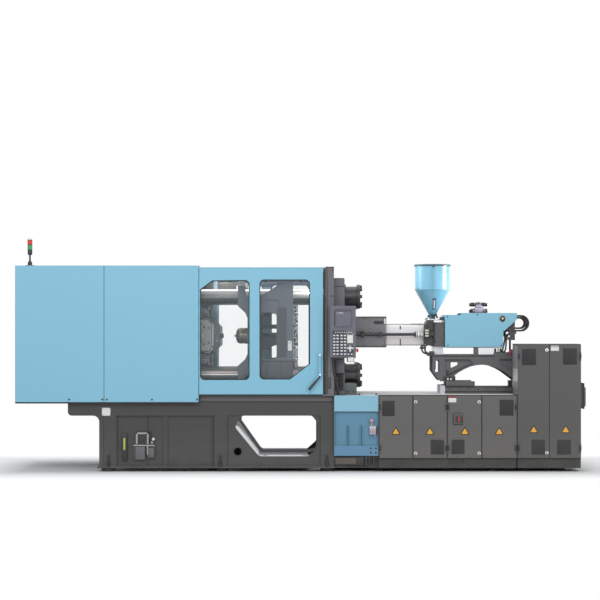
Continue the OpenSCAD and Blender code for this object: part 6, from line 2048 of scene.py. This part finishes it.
@dataclass
class WaterBattery:
    """Gauge, manifold, valves and pipes of the cooling water box, and the floor trays below."""

    face: float = DOOR_FACE

    def build(self) -> None:
        """Make the parts."""
        y = self.face
        dials = Shape("water_gauge", DIAL_RIM)
        dials.turned((712, y - 4, 512), Axis.Y, [(20, 0), (24, 2), (24, 24), (0, 24)], 24)
        dials.turned((712, y - 5, 512), Axis.Y, [(0, 0), (17, 0), (17, 2)], 24, DIAL_FACE)
        dials.box((706, y + 2, 460), (718, y + 20, 492), 2, BRASS)
        dials.box((690, y - 2, 372), (756, y + 22, 462), 5, LILAC)
        for x in (701, 722, 744):
            dials.rod((x, y - 8, 440), Axis.Y, 8, 9, 12, KEY_WHITE)
            dials.rod((x, y - 6, 402), Axis.Y, 8, 7, 6, BRASS)
        for x in (701, 744):
            dials.rod((x, y + 14, 338), Axis.Z, 36, 8, 12, LILAC)
        dials.box((750, y + 4, 380), (772, y + 24, 452), 3, OIL_DARK)
        dials.place("root", "box_blue")
        lines = Shape("water_box_lines", WATER_DARK)
        for x in (475, 610):
            lines.box((x - 4, y + 4, 160), (x + 4, y + 25, 462))
        lines.box((340, y - 1, 597), (782, y + 3, 605))
        lines.box((334, y + 4, 160), (342, y + 30, 765), 0, SLATE_BLUE)
        for x in (705, 755):
            for z in (190, 235):
                lines.rod((x, y - 2, z), Axis.Y, 4, 9, 14, BLACK)
        lines.place("root", "box_blue")
        under = Shape("floor_trays", OIL_DARK)
        under.box((338, -662, 60), (640, -632, 152), 3, BLACK)
        under.box((350, -668, 74), (560, -660, 138), 2, TRAY_BROWN)
        under.box((648, -690, 60), (668, -660, 156), 2, GROOVE_AND_PAINTED_SHADE)
        for x in (690, 735):
            under.rod((x, -690, 84), Axis.Z, 76, 12, 12, BLACK)
        under.place("root", "black_steel")


@dataclass
class BackAndSides:
    """What the photograph doesn't show: the tail, the right end and the rear side."""

    def build(self) -> None:
        """Make louvres, handles, fan, flanges and panel screws."""
        for name, y in (("front", -440.0), ("rear", 440.0)):
            Repeat(f"tail_louvres_{name}", Unit.STRIP, COVER_SHADE, (5, 300, 6), Axis.X, True).place(
                [(-2855, y, 900 + 28 * k) for k in range(12)], "root", "cover_blue")
        handles = Shape("tail_handles", BLACK)
        for y in (-560, 560):
            handles.box((-2860, y - 24, 1490), (-2855, y + 24, 1650), 2)
            handles.box((-2861, y - 15, 1504), (-2856, y + 15, 1636), 1, GROOVE_AND_PAINTED_SHADE)
        handles.place("root", "black_steel")
        hood = Shape("hood_lip", PLATE_DARK)
        hood.box((2853, -612, 646), (2866, -322, 848), 6)
        hood.box((2866, -600, 660), (2872, -334, 834), 3, BLACK)
        hood.place("root", "cabinet_grey")
        fan = Shape("cabinet_fan", BLACK)
        fan.turned((2872, -468, 748), Axis.X, [(80, -4), (83, -2), (83, 4), (74, 4), (74, -4)], 32)
        fan.turned((2870, -468, 748), Axis.X, [(0, 0), (26, 0), (26, 6), (0, 8)], 24)
        for k in range(6):
            turn = math.tau * k / 6
            fan.box((2871, -468 + 52 * math.cos(turn) - 9, 748 + 52 * math.sin(turn) - 9),
                    (2874, -468 + 52 * math.cos(turn) + 9, 748 + 52 * math.sin(turn) + 9), 3, VENT_BLADE)
        for radius in (46, 66):
            fan.turned((2872, -468, 748), Axis.X,
                       [(radius, 0), (radius + 3, 0), (radius + 3, 3), (radius, 3)], 32, OILED)
        fan.place("root", "black_steel")
        Repeat("rear_panel_screws", Unit.SOCKET_SCREW, OILED, (15, 15, 5), Axis.Y).place(
            [(x, 640.0, z) for x in range(520, 2140, 200) for z in (110, 700)], "root", "cabinet_grey")
        seams = Shape("rear_panel_seams", GROOVE_AND_PAINTED_SHADE)
        for x in (785, 1125, 1470, 1815):
            seams.box((x - 2, 639.5, 80), (x + 2, 641, 740))
        seams.place("root", "cabinet_grey")
        flanges = Shape("cooler_pipes", OILED)
        for x in (1185, 1595):
            flanges.rod((x, 790, 508), Axis.Z, 10, 34, 24)
            flanges.tube([(x, 790, 515), (x, 790, 560), (x, 760, 600), (x, 655, 600), (x, 640, 600)], 17, 14)
        flanges.place("root", "dark_steel")
        rear = Shape("clamp_cylinder_pipes", OILED)
        for z in (1500, 1225):
            rear.tube([(-2380, -60, z), (-2380, -190, z), (-2300, -260, z - 80), (-2300, -260, 800)], 14, 12)
        rear.place("root", "dark_steel")


@dataclass
class RearInterior:
    """The cable duct and the supply pipe behind the platens, seen through the windows."""

    depth: tuple[float, float] = (600.0, 652.0)

    def build(self) -> None:
        """Make the duct and the pipe."""
        near, far = self.depth
        duct = Shape("cable_duct", TRAY_PURPLE)
        duct.box((-1018, near, 1942), (248, far, 1992), 3)
        duct.box((-1018, near + 8, 1898), (248, far - 4, 1938), 3, PURPLE_SHADE)
        duct.box((-1018, near + 4, 1850), (-690, far - 4, 1936), 3, DUCT_OLIVE)
        for k in range(7):
            duct.box((-960 + 190 * k, near - 3, 1936), (-930 + 190 * k, near + 10, 1996), 2, OILED)
        duct.tube([(-915, far - 26, 700), (-915, far - 26, 1940)], 33, 24, PIPE_BLUE_PAINTED_LIGHT, smooth=0)
        duct.place("root", "unit_metal")


def dress_nodes() -> None:
    """Give every CAD node its finish."""
    for node, finish in NODE_FINISHES.items():
        BOOK.dress(node, finish)
    missing = sorted(set(FRAME["nodes"]) - set(NODE_FINISHES))
    if missing:
        LOG.warning("nodes without a finish: %s", ", ".join(missing))


def main() -> None:
    """Build the scene."""
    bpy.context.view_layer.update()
    bpy.context.scene.view_settings.view_transform = "Standard"
    Studio().build()
    TailHoses().build()
    dress_nodes()
    for part in (Beacon, OperatorPanel, CoverTrim, DoorHardware, PlatenDetails, ToggleDetails, BedDetails,
                 NozzleArea, FeedArea, CowlDetails, CarriageDetails, CabinetDetails, WaterBattery,
                 RearInterior, BackAndSides):
        part().build()


if __name__ == "__main__":
    logging.basicConfig(level=logging.INFO, format="%(message)s")
    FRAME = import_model()
    main()
